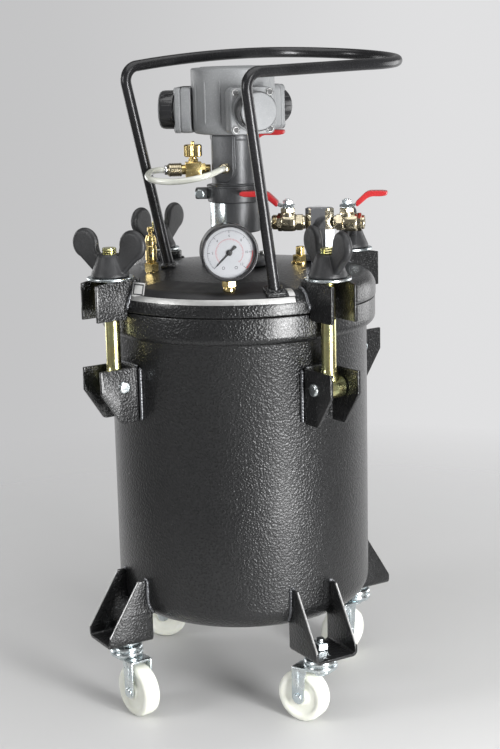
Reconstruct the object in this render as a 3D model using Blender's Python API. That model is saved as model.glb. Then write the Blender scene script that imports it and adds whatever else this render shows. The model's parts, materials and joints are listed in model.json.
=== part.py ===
"""A 20 litre stirred pressure pot: tank, clamped lid, radial air motor and casters.

All drawing dimensions are millimetres; MM turns them into the model's metres.
Z is up, the floor is Z = 0, the gauge looks along -Y and the clamps stand on
the diagonals. "Radial" is away from the tank's axis.
"""

import math

import bmesh
import bpy
from mathutils import Euler, Matrix, Vector

MM = 0.001
GAP = 0.3  # clearance between touching pieces

# Tank axis, measured from the middle of the whole object's footprint
TANK_X = -11.55
TANK_Y = -0.64

# Tank
TANK_R = 145.0
TANK_WALL = 2.5
TANK_BOTTOM_Z = 114.0
TANK_DISH = 2.0
KNUCKLE_R = 26.0
FLANGE_R = 154.8
FLANGE_LOW_Z = 434.0
FLANGE_TOP_Z = 464.2
FLANGE_ROUND = 9.0
ROUND_SEGMENTS = 40

# Lid
LID_R = 155.5
LID_LOW_Z = 465.0
LID_TOP_Z = 500.0
LID_THICKNESS = 3.5
DOME_DROP = 9.5
SHOULDER_R = 140.0
SHOULDER_LOW_Z = 474.0
LID_SEAT_Z = 468.9
SHAFT_HOLE_R = 8.5

# Clamps: lug on the lid, swing bolt and wing nut, hinge bracket on the tank
CLAMP_ANGLES = {"front_left": -135.0, "front_right": -45.0, "rear_right": 45.0, "rear_left": 135.0}
WING_ANGLES = {"front_left": -22.0, "front_right": -54.0, "rear_right": 100.0, "rear_left": 63.0}
BOLT_CIRCLE_R = 165.0
BOLT_R = 8.0
BOLT_TOP_Z = 534.0
PIN_Z = 385.0
PIN_R = 6.0
EYE_R = 12.0
LUG_TOP_Z = 500.0
LUG_LOW_Z = 457.5
LUG_OUTER_R = 192.6
LUG_INNER_R = 134.0
LUG_HALF = 17.3
LUG_WALL = 3.5
LUG_BEND_R = 10.0
WASHER_R = 25.0
WASHER_THICK = 2.7
BRACKET_LOW_Z = 345.0
BRACKET_TOP_Z = 405.0
BRACKET_OUTER_R = 193.0
BRACKET_HALF = 20.0
BRACKET_WALL = 3.4

# Feet and casters
FOOT_TURN = -4.0
CASTER_R = 158.0
FOOT_INNER_R = 137.0
FOOT_OUTER_R = 190.5
FOOT_HALF = 26.8
FOOT_WALL = 3.2
FOOT_LOW_Z = 88.5
FOOT_TOP_Z = 161.0
TRAIL_ANGLES = {"front_left": -42.0, "front_right": 155.0, "rear_right": -130.0, "rear_left": 180.0}
TRAIL = 22.0
WHEEL_R = 29.5
AXLE_Z = 33.5
FLOOR_Z = 4.0  # floor height in the heights used here
FORK_RING_R = 19.0
FORK_PLATE_Z = 67.0
FORK_RING_Z = 70.0
FORK_TOP_Z = 83.0
STEM_R = 5.0

# Air motor, its stand and the stirrer
NECK_R = 26.6
STAND_TOP_Z = 579.9
RING_LOW_Z = 571.0
RING_TOP_Z = 589.0
MOTOR_LOW_Z = 645.3
MOTOR_TOP_Z = 718.0
MOTOR_R = 46.0
HEAD_ANGLES = {"left": 180.0, "front": -60.0, "rear": 60.0}
HEAD_Z = 672.0
HEAD_HALF = 25.0
HEAD_FACE_R = 61.0
CUP_R = 21.0
CUP_END_R = 81.0
SHAFT_R = 6.0
SHAFT_BORE_R = 9.5
STIRRER_LOW_Z = 150.0
BLADE_R = 60.0

# Fittings on the lid
GAUGE_AT = (15.7, -136.3, 532.5)
GAUGE_TURN = 17.0
GAUGE_R = 30.0
POST_AT = (99.0, -38.0)
POST_HEX_R = 15.6
POST_TOP_Z = 567.5
VALVE_Z = 551.0
AIR_VALVE_ANGLE = 90.0
AIR_VALVE_Z = 612.0
RELIEF_AT = (-90.4, -35.1)
PLUG_AT = (69.0, 21.0)
NEEDLE_VALVE_ANGLE = 195.0
NEEDLE_VALVE_Z = 607.0
HOSE_PAD_ANGLE = -100.0
HOSE_R = 3.5

# Handle: a bent rod along the diagonal that points to the rear right clamp
ROD_R = 6.0
HANDLE_BEND_R = 16.0


def clear_scene():
    for item in list(bpy.data.objects):
        bpy.data.objects.remove(item)


def material(name, color, roughness, metallic):
    made = bpy.data.materials.get(name) or bpy.data.materials.new(name)
    made.use_nodes = True
    shader = made.node_tree.nodes["Principled BSDF"]
    shader.inputs["Base Color"].default_value = (*color, 1.0)
    shader.inputs["Roughness"].default_value = roughness
    shader.inputs["Metallic"].default_value = metallic
    return made


# ---------------------------------------------------------------- outlines


def arc(center, radius, start, end, steps):
    """Points on a circle between two angles in degrees, both ends included."""
    points = []
    for step in range(steps + 1):
        angle = math.radians(start + (end - start) * step / steps)
        points.append((center[0] + radius * math.cos(angle), center[1] + radius * math.sin(angle)))
    return points


def rounded(corners, radius, steps=3):
    """A closed outline with each corner replaced by an arc of the given radius."""
    points = []
    count = len(corners)
    for index, corner in enumerate(corners):
        here = Vector(corner)
        back = (Vector(corners[index - 1]) - here).normalized()
        ahead = (Vector(corners[(index + 1) % count]) - here).normalized()
        half = back.angle(ahead) / 2
        reach = radius / math.tan(half)
        middle = here + (back + ahead).normalized() * (radius / math.sin(half))
        first = here + back * reach - middle
        last = here + ahead * reach - middle
        for step in range(steps + 1):
            mixed = first.lerp(last, step / steps).normalized() * radius
            points.append(tuple(middle + mixed))
    return points


def dome_z(radius):
    """Height of the lid's outer face inside its shoulder."""
    return LID_TOP_Z - DOME_DROP * (radius / SHOULDER_R) ** 2


def lid_face(grow=0.0):
    """The lid's outer outline from the middle out and down the skirt."""
    points = [(radius, dome_z(radius) + grow) for radius in (60.0, 105.0)]
    wide = LID_R - SHOULDER_R + grow
    high = dome_z(SHOULDER_R) - SHOULDER_LOW_Z + grow
    for across, up in arc((0.0, 0.0), 1.0, 90.0, 0.0, 3):
        points.append((SHOULDER_R + wide * across, SHOULDER_LOW_Z + high * up))
    return points


def tank_face(grow=0.0):
    """The tank's outer outline from the middle of its bottom up the wall."""
    center = (TANK_R - KNUCKLE_R, TANK_BOTTOM_Z + KNUCKLE_R)
    knuckle = arc(center, KNUCKLE_R + grow, -90.0, 0.0, 3)
    return [(0.0, TANK_BOTTOM_Z - TANK_DISH - grow)] + knuckle


# ------------------------------------------------------------------ solids


def new_object(name, points, faces):
    """A closed mesh from points in millimetres, with its faces turned outward."""
    mesh = bpy.data.meshes.new(name)
    mesh.from_pydata([Vector(point) * MM for point in points], [], faces)
    work = bmesh.new()
    work.from_mesh(mesh)
    bmesh.ops.recalc_face_normals(work, faces=work.faces)
    work.to_mesh(mesh)
    work.free()
    made = bpy.data.objects.new(name, mesh)
    bpy.context.scene.collection.objects.link(made)
    return made


def lathe(name, profile, segments=24, phase=0.0):
    """A turned solid about Z from a closed profile of (radius, height) points."""
    points = []
    rings = []
    for radius, height in profile:
        if radius < 1e-6:
            rings.append([len(points)] * segments)
            points.append((0.0, 0.0, height))
            continue
        rings.append(list(range(len(points), len(points) + segments)))
        for step in range(segments):
            angle = 2 * math.pi * step / segments + math.radians(phase)
            points.append((radius * math.cos(angle), radius * math.sin(angle), height))
    faces = []
    for index, ring in enumerate(rings):
        other = rings[(index + 1) % len(rings)]
        for step in range(segments):
            after = (step + 1) % segments
            corners = [ring[step], ring[after], other[after], other[step]]
            unique = list(dict.fromkeys(corners))
            if len(unique) > 2:
                faces.append(unique)
    return new_object(name, points, faces)


def hexagon(name, across_flats, low, high, phase=0.0):
    radius = across_flats / math.sqrt(3.0)
    return lathe(name, [(0.0, low), (radius, low), (radius, high), (0.0, high)], 6, phase)


def rod(name, radius, low, high, segments=20):
    return lathe(name, [(0.0, low), (radius, low), (radius, high), (0.0, high)], segments)


def prism(name, outline, low, high, along="Z"):
    """An outline swept straight along Z, Y or X between two planes.

    The outline's two numbers are X, Y for Z, X, Z for Y, and Y, Z for X.
    """
    order = {
        "Z": lambda a, b, c: (a, b, c),
        "Y": lambda a, b, c: (a, c, b),
        "X": lambda a, b, c: (c, a, b),
    }[along]
    count = len(outline)
    points = [order(a, b, low) for a, b in outline] + [order(a, b, high) for a, b in outline]
    sides = [[i, (i + 1) % count, count + (i + 1) % count, count + i] for i in range(count)]
    ends = [list(range(count)), list(range(count, 2 * count))]
    return new_object(name, points, sides + ends)


def box(name, low, high):
    outline = [(low[0], low[1]), (high[0], low[1]), (high[0], high[1]), (low[0], high[1])]
    return prism(name, outline, low[2], high[2])


def moved(item, shift=(0.0, 0.0, 0.0), turn=(0.0, 0.0, 0.0)):
    """Turns the mesh itself by XYZ angles in degrees, then shifts it in millimetres."""
    spin = Euler([math.radians(angle) for angle in turn]).to_matrix().to_4x4()
    item.data.transform(Matrix.Translation(Vector(shift) * MM) @ spin)
    return item


def combine(target, tools, operation):
    """Applies one exact Boolean for each tool and removes the tools."""
    for tool in tools:
        change = target.modifiers.new(operation, "BOOLEAN")
        change.operation = operation
        change.object = tool
        bpy.context.view_layer.update()
        shape = target.evaluated_get(bpy.context.evaluated_depsgraph_get())
        mesh = bpy.data.meshes.new_from_object(shape)
        target.modifiers.clear()
        target.data = mesh
        bpy.data.objects.remove(tool)
    return target


def fuse(target, *tools):
    return combine(target, tools, "UNION")


def cut(target, *tools):
    return combine(target, tools, "DIFFERENCE")


def finish(item, parent, look, at=(0.0, 0.0, 0.0), turn=(0.0, 0.0, 0.0), smooth=35.0):
    """Gives a solid its material, shading and place under its parent."""
    item.data.materials.clear()
    item.data.materials.append(look)
    item.data.shade_smooth()
    item.data.set_sharp_from_angle(angle=math.radians(smooth))
    item.parent = parent
    item.location = Vector(at) * MM
    item.rotation_euler = Euler([math.radians(angle) for angle in turn])
    return item


def copy_of(item, name):
    twin = bpy.data.objects.new(name, item.data)
    bpy.context.scene.collection.objects.link(twin)
    return twin


def around(angle, radius, height):
    """A point at a bearing from the tank's axis, in millimetres."""
    turn = math.radians(angle)
    return (radius * math.cos(turn), radius * math.sin(turn), height)


def swept(name, points, radius, resolution):
    """A round rod or hose along a list of points, with closed ends."""
    curve = bpy.data.curves.new(name, "CURVE")
    curve.dimensions = "3D"
    curve.bevel_depth = radius * MM
    curve.bevel_resolution = resolution
    curve.use_fill_caps = True
    line = curve.splines.new("POLY")
    line.points.add(len(points) - 1)
    for point, place in zip(line.points, points):
        point.co = (*(Vector(place) * MM), 1.0)
    made = bpy.data.objects.new(name, curve)
    bpy.context.scene.collection.objects.link(made)
    return made


# ----------------------------------------------------------- tank and lid


def make_tank():
    inner_r = TANK_R - TANK_WALL
    inner_knuckle = KNUCKLE_R - TANK_WALL
    center = (TANK_R - KNUCKLE_R, TANK_BOTTOM_Z + KNUCKLE_R)
    flange_round = arc((FLANGE_R - FLANGE_ROUND, FLANGE_LOW_Z + FLANGE_ROUND), FLANGE_ROUND, -75.0, 0.0, 2)
    profile = tank_face()
    profile += [(TANK_R, FLANGE_LOW_Z)] + flange_round
    profile += [(FLANGE_R, FLANGE_TOP_Z), (inner_r, FLANGE_TOP_Z)]
    profile += arc(center, inner_knuckle, 0.0, -90.0, 2)
    profile.append((0.0, TANK_BOTTOM_Z - TANK_DISH + TANK_WALL))
    return lathe("tank", profile, ROUND_SEGMENTS)


def make_lid():
    skirt_in = LID_R - LID_THICKNESS
    profile = [(SHAFT_HOLE_R, dome_z(SHAFT_HOLE_R))] + lid_face()
    profile += [(LID_R, LID_LOW_Z + 2.0), (LID_R - 1.6, LID_LOW_Z), (skirt_in, LID_LOW_Z)]
    profile += [(skirt_in, LID_SEAT_Z), (138.0, LID_SEAT_Z), (134.0, 482.0)]
    for radius in (105.0, SHAFT_HOLE_R):
        profile.append((radius, dome_z(radius) - LID_THICKNESS))
    lid = lathe("lid", profile, ROUND_SEGMENTS)
    dip_hole = moved(rod("dip_hole", 6.3, 480.0, 510.0), (*POST_AT, 0.0))
    return cut(lid, dip_hole)


def make_gasket():
    low = FLANGE_TOP_Z + GAP
    high = LID_SEAT_Z - GAP
    return lathe("lid_gasket", [(143.0, low), (151.4, low), (151.4, high), (143.0, high)], ROUND_SEGMENTS)


def lid_cutter():
    """The lid's own volume, a little larger, which seats whatever stands on it."""
    profile = [(0.0, 430.0), (LID_R + 0.4, 430.0)]
    profile += reversed(lid_face(0.4))
    profile.append((0.0, LID_TOP_Z + 0.4))
    return lathe("lid_cutter", profile, ROUND_SEGMENTS)


def tank_cutter():
    profile = tank_face(0.4)
    profile += [(TANK_R + 0.4, 430.0), (0.0, 430.0)]
    return lathe("tank_cutter", profile, ROUND_SEGMENTS)


# ------------------------------------------------------------------ clamps


def channel_outline(inner, outer, half, wall, bend):
    """Plan of a channel that is open outward, with its back at the inner end."""
    low_bend = arc((inner + bend, bend - half), bend, -90.0, -180.0, 2)
    high_bend = arc((inner + bend, half - bend), bend, 180.0, 90.0, 2)
    tight = bend - wall
    high_inside = arc((inner + bend, half - bend), tight, 90.0, 180.0, 2)
    low_inside = arc((inner + bend, bend - half), tight, 180.0, 270.0, 2)
    outline = [(outer, -half)] + low_bend + high_bend + [(outer, half), (outer, half - wall)]
    return outline + high_inside + low_inside + [(outer, wall - half)]


def make_lug():
    """Clamp lug: its top follows the washer's path, so the bolt can swing out."""
    outline = channel_outline(LUG_INNER_R, LUG_OUTER_R, LUG_HALF, LUG_WALL, LUG_BEND_R)
    lug = prism("lug", outline, LUG_LOW_Z, LUG_TOP_Z)
    reach = LUG_TOP_Z - PIN_Z
    past = math.degrees(math.asin((LUG_OUTER_R + 2.0 - BOLT_CIRCLE_R) / reach))
    crown = arc((BOLT_CIRCLE_R, PIN_Z), reach, 90.0, 90.0 - past, 3)
    above = crown + [(LUG_OUTER_R + 2.0, LUG_TOP_Z + 5.0), (BOLT_CIRCLE_R, LUG_TOP_Z + 5.0)]
    trimmer = prism("above_crown", above, -LUG_HALF - 1.0, LUG_HALF + 1.0, "Y")
    return cut(lug, trimmer, lid_cutter())


def make_bracket():
    """Hinge bracket: two cheeks, a back plate and the riveted pin."""
    outline = channel_outline(TANK_R + 0.4, BRACKET_OUTER_R, BRACKET_HALF, BRACKET_WALL, 4.5)
    bracket = prism("bracket", outline, BRACKET_LOW_Z, BRACKET_TOP_Z)
    slant = [(169.0, 344.0), (BRACKET_OUTER_R + 2.0, 383.0), (BRACKET_OUTER_R + 2.0, 344.0)]
    bracket = cut(bracket, prism("slant", slant, -BRACKET_HALF - 1.0, BRACKET_HALF + 1.0, "Y"))
    head = 3.0
    reach = BRACKET_HALF + head
    pin_profile = [(0.0, -reach), (7.0, -reach), (7.0, -BRACKET_HALF + 0.5), (PIN_R, -BRACKET_HALF + 0.5)]
    pin_profile += [(PIN_R, BRACKET_HALF - 0.5), (7.0, BRACKET_HALF - 0.5), (7.0, reach), (0.0, reach)]
    pin = moved(lathe("pin", pin_profile, 12), (BOLT_CIRCLE_R, 0.0, PIN_Z), (90.0, 0.0, 0.0))
    return fuse(bracket, pin)


def make_swing_bolt():
    """Eye bolt whose origin is on its hinge pin."""
    top = BOLT_TOP_Z - PIN_Z
    half = BRACKET_HALF - BRACKET_WALL - 1.6
    shank = lathe("shank", [(0.0, 8.0), (BOLT_R, 8.0), (BOLT_R, top - 1.5), (BOLT_R - 1.5, top), (0.0, top)], 12)
    eye = moved(rod("eye", EYE_R, -half, half, 14), turn=(90.0, 0.0, 0.0))
    bore = moved(rod("bore", PIN_R + 0.5, -half - 1.0, half + 1.0, 12), turn=(90.0, 0.0, 0.0))
    return cut(fuse(shank, eye), bore)


def make_wing_nut():
    """Cast wing nut with its washer; the origin is on the bolt's axis at the lug's top."""
    lobe = (31.0, 37.5)
    right = [(19.0, 4.0)] + arc(lobe, 15.0, -45.0, 180.0, 6) + [(13.5, 28.0)]
    left = [(-across, up) for across, up in reversed(right)]
    wings = prism("wings", right + left, -4.5, 4.5, "Y")
    base = GAP + WASHER_THICK
    hub_profile = [(0.0, GAP), (WASHER_R, GAP), (WASHER_R, base), (21.0, base), (21.0, base + 3.0)]
    hub_profile += [(13.0, 24.0), (11.5, 27.5), (0.0, 27.5)]
    hub = lathe("hub", hub_profile, 12)
    return cut(fuse(hub, wings), rod("bore", BOLT_R + 0.6, -1.0, 60.0, 12))


def make_clamps(parent, looks):
    parts = {
        "lug": make_lug(),
        "bracket": make_bracket(),
        "bolt": make_swing_bolt(),
        "nut": make_wing_nut(),
    }
    for side, angle in CLAMP_ANGLES.items():
        lug = copy_of(parts["lug"], "lid_lug_" + side)
        finish(lug, parent, looks["paint"], turn=(0.0, 0.0, angle))
        bracket = copy_of(parts["bracket"], "hinge_bracket_" + side)
        finish(bracket, parent, looks["paint"], turn=(0.0, 0.0, angle))
        bolt = copy_of(parts["bolt"], "swing_bolt_" + side)
        finish(bolt, parent, looks["yellow_zinc"], around(angle, BOLT_CIRCLE_R, PIN_Z), (0.0, 0.0, angle))
        nut = copy_of(parts["nut"], "wing_nut_" + side)
        turned = (0.0, 0.0, WING_ANGLES[side])
        finish(nut, parent, looks["black_cast"], around(angle, BOLT_CIRCLE_R, LUG_TOP_Z), turned)
    for source in parts.values():
        bpy.data.objects.remove(source)


# --------------------------------------------------------- feet and casters


def make_foot():
    """Bent sheet foot: a floor for the caster stem between two cheeks."""
    corners = [(-FOOT_HALF, FOOT_TOP_Z), (-FOOT_HALF, FOOT_LOW_Z), (FOOT_HALF, FOOT_LOW_Z), (FOOT_HALF, FOOT_TOP_Z)]
    bend = 6.0
    left = arc((bend - FOOT_HALF, FOOT_LOW_Z + bend), bend, 180.0, 270.0, 2)
    right = arc((FOOT_HALF - bend, FOOT_LOW_Z + bend), bend, 270.0, 360.0, 2)
    tight = bend - FOOT_WALL
    right_in = arc((FOOT_HALF - bend, FOOT_LOW_Z + bend), tight, 360.0, 270.0, 2)
    left_in = arc((bend - FOOT_HALF, FOOT_LOW_Z + bend), tight, 270.0, 180.0, 2)
    inner = FOOT_HALF - FOOT_WALL
    outline = [corners[0]] + left + right + [corners[3], (inner, FOOT_TOP_Z)]
    outline += right_in + left_in + [(-inner, FOOT_TOP_Z)]
    foot = prism("foot", outline, FOOT_INNER_R, FOOT_OUTER_R, "X")
    slant = [(152.0, FOOT_TOP_Z + 1.0), (FOOT_OUTER_R + 1.0, 99.5), (FOOT_OUTER_R + 1.0, FOOT_TOP_Z + 1.0)]
    trimmer = prism("slant", slant, -FOOT_HALF - 1.0, FOOT_HALF + 1.0, "Y")
    hole = moved(rod("hole", STEM_R + 0.6, FOOT_LOW_Z - 1.0, FOOT_LOW_Z + 5.0, 10), (CASTER_R, 0.0, 0.0))
    return cut(foot, trimmer, tank_cutter(), hole)


def make_caster_stem():
    """Fixed caster bolt with its collar, seen from the swivel axis on the floor."""
    nut_low = FOOT_LOW_Z + FOOT_WALL + GAP
    head_top = FORK_PLATE_Z - 0.7
    collar_low = FORK_TOP_Z + GAP
    collar_top = FOOT_LOW_Z - GAP
    profile = [(0.0, head_top - 4.8), (8.0, head_top - 4.8), (8.0, head_top), (STEM_R, head_top)]
    profile += [(STEM_R, collar_low), (15.0, collar_low), (15.0, collar_top - 1.0), (12.0, collar_top)]
    profile += [(STEM_R, collar_top), (STEM_R, nut_low + 12.0), (0.0, nut_low + 12.0)]
    stem = lathe("stem", profile, 12)
    return fuse(stem, hexagon("stem_nut", 17.0, nut_low, nut_low + 8.5))


def make_fork():
    """Swivel fork with its axle; the origin is where the swivel axis meets the floor."""
    bore = STEM_R + 0.6
    ring_profile = [(0.0, FORK_RING_Z - 1.0), (FORK_RING_R - 2.5, FORK_RING_Z - 1.0), (FORK_RING_R, FORK_RING_Z + 3.0)]
    ring_profile += [(FORK_RING_R, FORK_TOP_Z - 4.0), (FORK_RING_R - 4.0, FORK_TOP_Z), (0.0, FORK_TOP_Z)]
    plate = [(-14.0, -8.0), (-8.0, -14.0), (29.5, -14.0), (29.5, 14.0), (-8.0, 14.0), (-14.0, 8.0)]
    fork = prism("fork", plate, FORK_PLATE_Z, FORK_RING_Z)
    tools = [lathe("ring", ring_profile, 16)]
    leg_half = 7.5
    leg = [(TRAIL + leg_half, FORK_RING_Z - 1.0), (TRAIL - leg_half - 2.0, FORK_RING_Z - 1.0)]
    leg += arc((TRAIL, AXLE_Z), leg_half, 180.0, 360.0, 4)
    for side in (-1.0, 1.0):
        ends = sorted((side * 11.5, side * 14.0))
        tools.append(prism("leg", leg, ends[0], ends[1], "Y"))
    axle_profile = [(0.0, -16.5), (5.5, -16.5), (5.5, -13.5), (4.0, -13.5)]
    axle_profile += [(4.0, 13.5), (5.5, 13.5), (5.5, 16.5), (0.0, 16.5)]
    tools.append(moved(lathe("axle", axle_profile, 10), (TRAIL, 0.0, AXLE_Z), (90.0, 0.0, 0.0)))
    fork = fuse(fork, *tools)
    return cut(fork, rod("bore", bore, FORK_PLATE_Z - 5.0, FORK_TOP_Z + 5.0, 12))


def make_wheel():
    """Moulded wheel about its own Y axis, with a rim, a dished web and a hub."""
    side = [(4.6, 10.8), (9.0, 10.8), (10.0, 7.5), (24.5, 9.8), (WHEEL_R, 7.0)]
    profile = side + [(radius, -across) for radius, across in reversed(side)]
    return moved(lathe("wheel", profile, 16, 90.0), turn=(90.0, 0.0, 0.0))


def make_feet(parent, looks):
    parts = {"foot": make_foot(), "stem": make_caster_stem(), "fork": make_fork(), "wheel": make_wheel()}
    for side, clamp_angle in CLAMP_ANGLES.items():
        angle = clamp_angle + FOOT_TURN
        foot = copy_of(parts["foot"], "foot_bracket_" + side)
        finish(foot, parent, looks["paint"], turn=(0.0, 0.0, angle))
        stem = copy_of(parts["stem"], "caster_stem_" + side)
        finish(stem, parent, looks["zinc"], around(angle, CASTER_R, 0.0))
        trail = TRAIL_ANGLES[side]
        fork = copy_of(parts["fork"], "caster_fork_" + side)
        finish(fork, parent, looks["zinc"], around(angle, CASTER_R, 0.0), (0.0, 0.0, trail))
        wheel = copy_of(parts["wheel"], "caster_wheel_" + side)
        axle = Vector(around(angle, CASTER_R, AXLE_Z)) + Vector(around(trail, TRAIL, 0.0))
        finish(wheel, parent, looks["nylon"], axle, (0.0, 0.0, trail))
    for source in parts.values():
        bpy.data.objects.remove(source)


# -------------------------------------------------- motor, stand, stirrer


def make_stand():
    foot_z = LID_TOP_Z + GAP
    profile = [(SHAFT_BORE_R, foot_z), (40.0, foot_z), (40.0, foot_z + 7.0), (17.0, foot_z + 8.0)]
    profile += [(17.0, 535.0), (28.0, 537.0), (28.0, RING_LOW_Z - GAP), (NECK_R, RING_LOW_Z - GAP)]
    profile += [(NECK_R, STAND_TOP_Z), (SHAFT_BORE_R, STAND_TOP_Z)]
    return lathe("motor_stand", profile, 24)


def make_ring():
    inner = NECK_R + 0.4
    profile = [(inner, RING_LOW_Z), (30.8, RING_LOW_Z), (30.8, RING_TOP_Z), (inner, RING_TOP_Z)]
    ring = lathe("clamp_ring", profile, 24)
    ears = box("ears", (28.5, -7.0, RING_LOW_Z + 3.0), (44.5, 7.0, RING_TOP_Z - 3.0))
    slot = box("slot", (25.0, -1.2, RING_LOW_Z - 1.0), (45.5, 1.2, RING_TOP_Z + 1.0))
    return moved(cut(fuse(ring, ears), slot), turn=(0.0, 0.0, 190.0))


def make_neck():
    top = MOTOR_LOW_Z - GAP
    low = STAND_TOP_Z + GAP
    profile = [(SHAFT_BORE_R, low), (NECK_R, low), (NECK_R, top), (SHAFT_BORE_R, top)]
    neck = lathe("motor_neck", profile, 24)
    pad_outline = [(-13.0, top)] + arc((0.0, 606.0), 13.0, 180.0, 360.0, 5) + [(13.0, top)]
    pad = moved(prism("pad", pad_outline, 20.0, 29.0, "X"), turn=(0.0, 0.0, -107.0))
    socket = moved(prism("socket", arc((0.0, 609.0), 5.5, 0.0, 324.0, 9), 24.0, 36.0, "X"), turn=(0.0, 0.0, HOSE_PAD_ANGLE))
    bore = rod("bore", SHAFT_BORE_R, low - 5.0, top + 5.0)
    return cut(fuse(neck, pad, socket), bore)


def make_motor_body():
    """Crankcase, with a blind bore for the shaft in its underside."""
    profile = [(SHAFT_BORE_R, MOTOR_LOW_Z), (39.0, MOTOR_LOW_Z), (MOTOR_R, MOTOR_LOW_Z + 6.0)]
    profile += [(MOTOR_R, MOTOR_TOP_Z - 6.0), (MOTOR_R - 6.0, MOTOR_TOP_Z), (0.0, MOTOR_TOP_Z)]
    profile += [(0.0, 670.0), (SHAFT_BORE_R, 670.0)]
    return lathe("motor_body", profile, 28)


def make_head():
    """Cylinder head: a square block on the crankcase and a round end cap."""
    square = [(-HEAD_HALF, HEAD_Z - HEAD_HALF), (HEAD_HALF, HEAD_Z - HEAD_HALF)]
    square += [(HEAD_HALF, HEAD_Z + HEAD_HALF), (-HEAD_HALF, HEAD_Z + HEAD_HALF)]
    block = prism("head", rounded(square, 5.0, 2), 34.0, HEAD_FACE_R, "X")
    block = cut(block, lathe("case", [(0.0, 600.0), (MOTOR_R + GAP, 600.0), (MOTOR_R + GAP, 760.0), (0.0, 760.0)], 28))
    cap_profile = [(0.0, HEAD_FACE_R - 2.0), (CUP_R, HEAD_FACE_R - 2.0), (CUP_R, CUP_END_R - 3.0)]
    cap_profile += [(CUP_R - 3.0, CUP_END_R), (0.0, CUP_END_R)]
    cap = moved(lathe("cap", cap_profile, 20), (0.0, 0.0, HEAD_Z), (0.0, 90.0, 0.0))
    return fuse(block, cap)


def make_stirrer():
    """Shaft with a three-bladed pitched impeller."""
    stirrer = rod("stirrer", SHAFT_R, STIRRER_LOW_Z, 664.0, 12)
    tools = [rod("hub", 12.0, STIRRER_LOW_Z + 4.0, STIRRER_LOW_Z + 24.0, 12)]
    blade_outline = [(8.0, -8.0), (50.0, -10.0), (BLADE_R, -4.0), (BLADE_R, 6.0), (52.0, 11.0), (8.0, 8.0)]
    for step in range(3):
        blade = moved(prism("blade", blade_outline, -1.5, 1.5), turn=(40.0, 0.0, 0.0))
        tools.append(moved(blade, (0.0, 0.0, STIRRER_LOW_Z + 14.0), (0.0, 0.0, 120.0 * step)))
    return fuse(stirrer, *tools)


def make_motor(parent, looks):
    finish(make_stand(), parent, looks["paint"])
    finish(make_ring(), parent, looks["cast"])
    finish(make_neck(), parent, looks["cast"])
    finish(make_motor_body(), parent, looks["cast"])
    finish(make_stirrer(), parent, looks["steel"])
    head = make_head()
    for side, angle in HEAD_ANGLES.items():
        finish(copy_of(head, "motor_head_" + side), parent, looks["cast"], turn=(0.0, 0.0, angle))
    bpy.data.objects.remove(head)


# ---------------------------------------------------------------- fittings


def make_gauge():
    """Gauge case with a recessed dial, on its brass stem."""
    case_profile = [(0.0, -14.0), (27.0, -14.0), (GAUGE_R, -9.0), (GAUGE_R, 12.0), (29.0, 14.0)]
    case_profile += [(26.5, 14.0), (26.5, 9.0), (0.0, 9.0)]
    case = moved(lathe("gauge_case", case_profile, 28), GAUGE_AT, (90.0, 0.0, GAUGE_TURN))
    stem = hexagon("stem", 17.0, 485.0, GAUGE_AT[2] - 24.0, 15.0)
    return cut(fuse(case, moved(stem, (GAUGE_AT[0], GAUGE_AT[1], 0.0))), lid_cutter())


def make_needle():
    """Pointer about its own Z axis, which looks out of the dial; zero is lower left."""
    hub = rod("gauge_needle", 3.0, 9.4, 11.6, 12)
    pointer = prism("pointer", [(0.0, 1.6), (-20.0, 0.5), (-20.0, -0.5), (0.0, -1.6), (9.0, -1.2), (9.0, 1.2)], 9.8, 10.8)
    return moved(fuse(hub, pointer), turn=(0.0, 0.0, 45.0))


def make_post():
    post = hexagon("manifold_post", 27.0, 480.0, POST_TOP_Z, 0.0)
    bore = rod("bore", 5.6, 470.0, 520.0)
    post = cut(moved(cut(post, bore), (*POST_AT, 0.0)), lid_cutter())
    return post


def make_dip_tube():
    profile = [(3.4, 128.0), (5.0, 128.0), (5.0, 515.0), (3.4, 515.0)]
    return moved(lathe("dip_tube", profile, 14), (*POST_AT, 0.0))


def make_ball_valve(name, start, length, stem_at):
    """Ball valve along +X from its start, with its spindle up and its port open."""
    profile = [(0.0, start), (7.5, start), (7.5, start + 5.0), (10.0, start + 7.0), (10.0, start + 29.0)]
    profile += [(8.4, start + 31.0), (8.4, length), (5.0, length), (5.0, start + 24.0), (0.0, start + 24.0)]
    body = moved(lathe(name, profile, 14), turn=(0.0, 90.0, 0.0))
    spindle_profile = [(0.0, 2.0), (7.5, 2.0), (7.5, 16.5), (3.0, 16.5), (3.0, 25.5), (0.0, 25.5)]
    return fuse(body, moved(lathe("spindle", spindle_profile, 10), (stem_at, 0.0, 0.0)))


def make_lever(name, length):
    """Bent strip lever along +X about its own Z axis."""
    thick = 2.4
    ramp_start, ramp_end, rise = 8.0, 23.0, 14.0
    top = [(-8.0, thick), (ramp_start, thick), (ramp_end, rise + thick), (length, rise + thick)]
    under = [(length, rise), (ramp_end + 1.0, rise), (ramp_start + 1.0, 0.0), (-8.0, 0.0)]
    lever = prism(name, top + under, -6.3, 6.3, "Y")
    corner_cut = 3.0
    for side in (-1.0, 1.0):
        tip = [(length + 1.0, side * 7.0), (length + 1.0, side * (6.3 - corner_cut - 1.0)), (length - 4.0, side * 7.0)]
        lever = cut(lever, prism("tip", tip, rise - 2.0, rise + thick + 2.0))
    return cut(lever, rod("eye", 3.5, -2.0, 6.0, 10))


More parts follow.
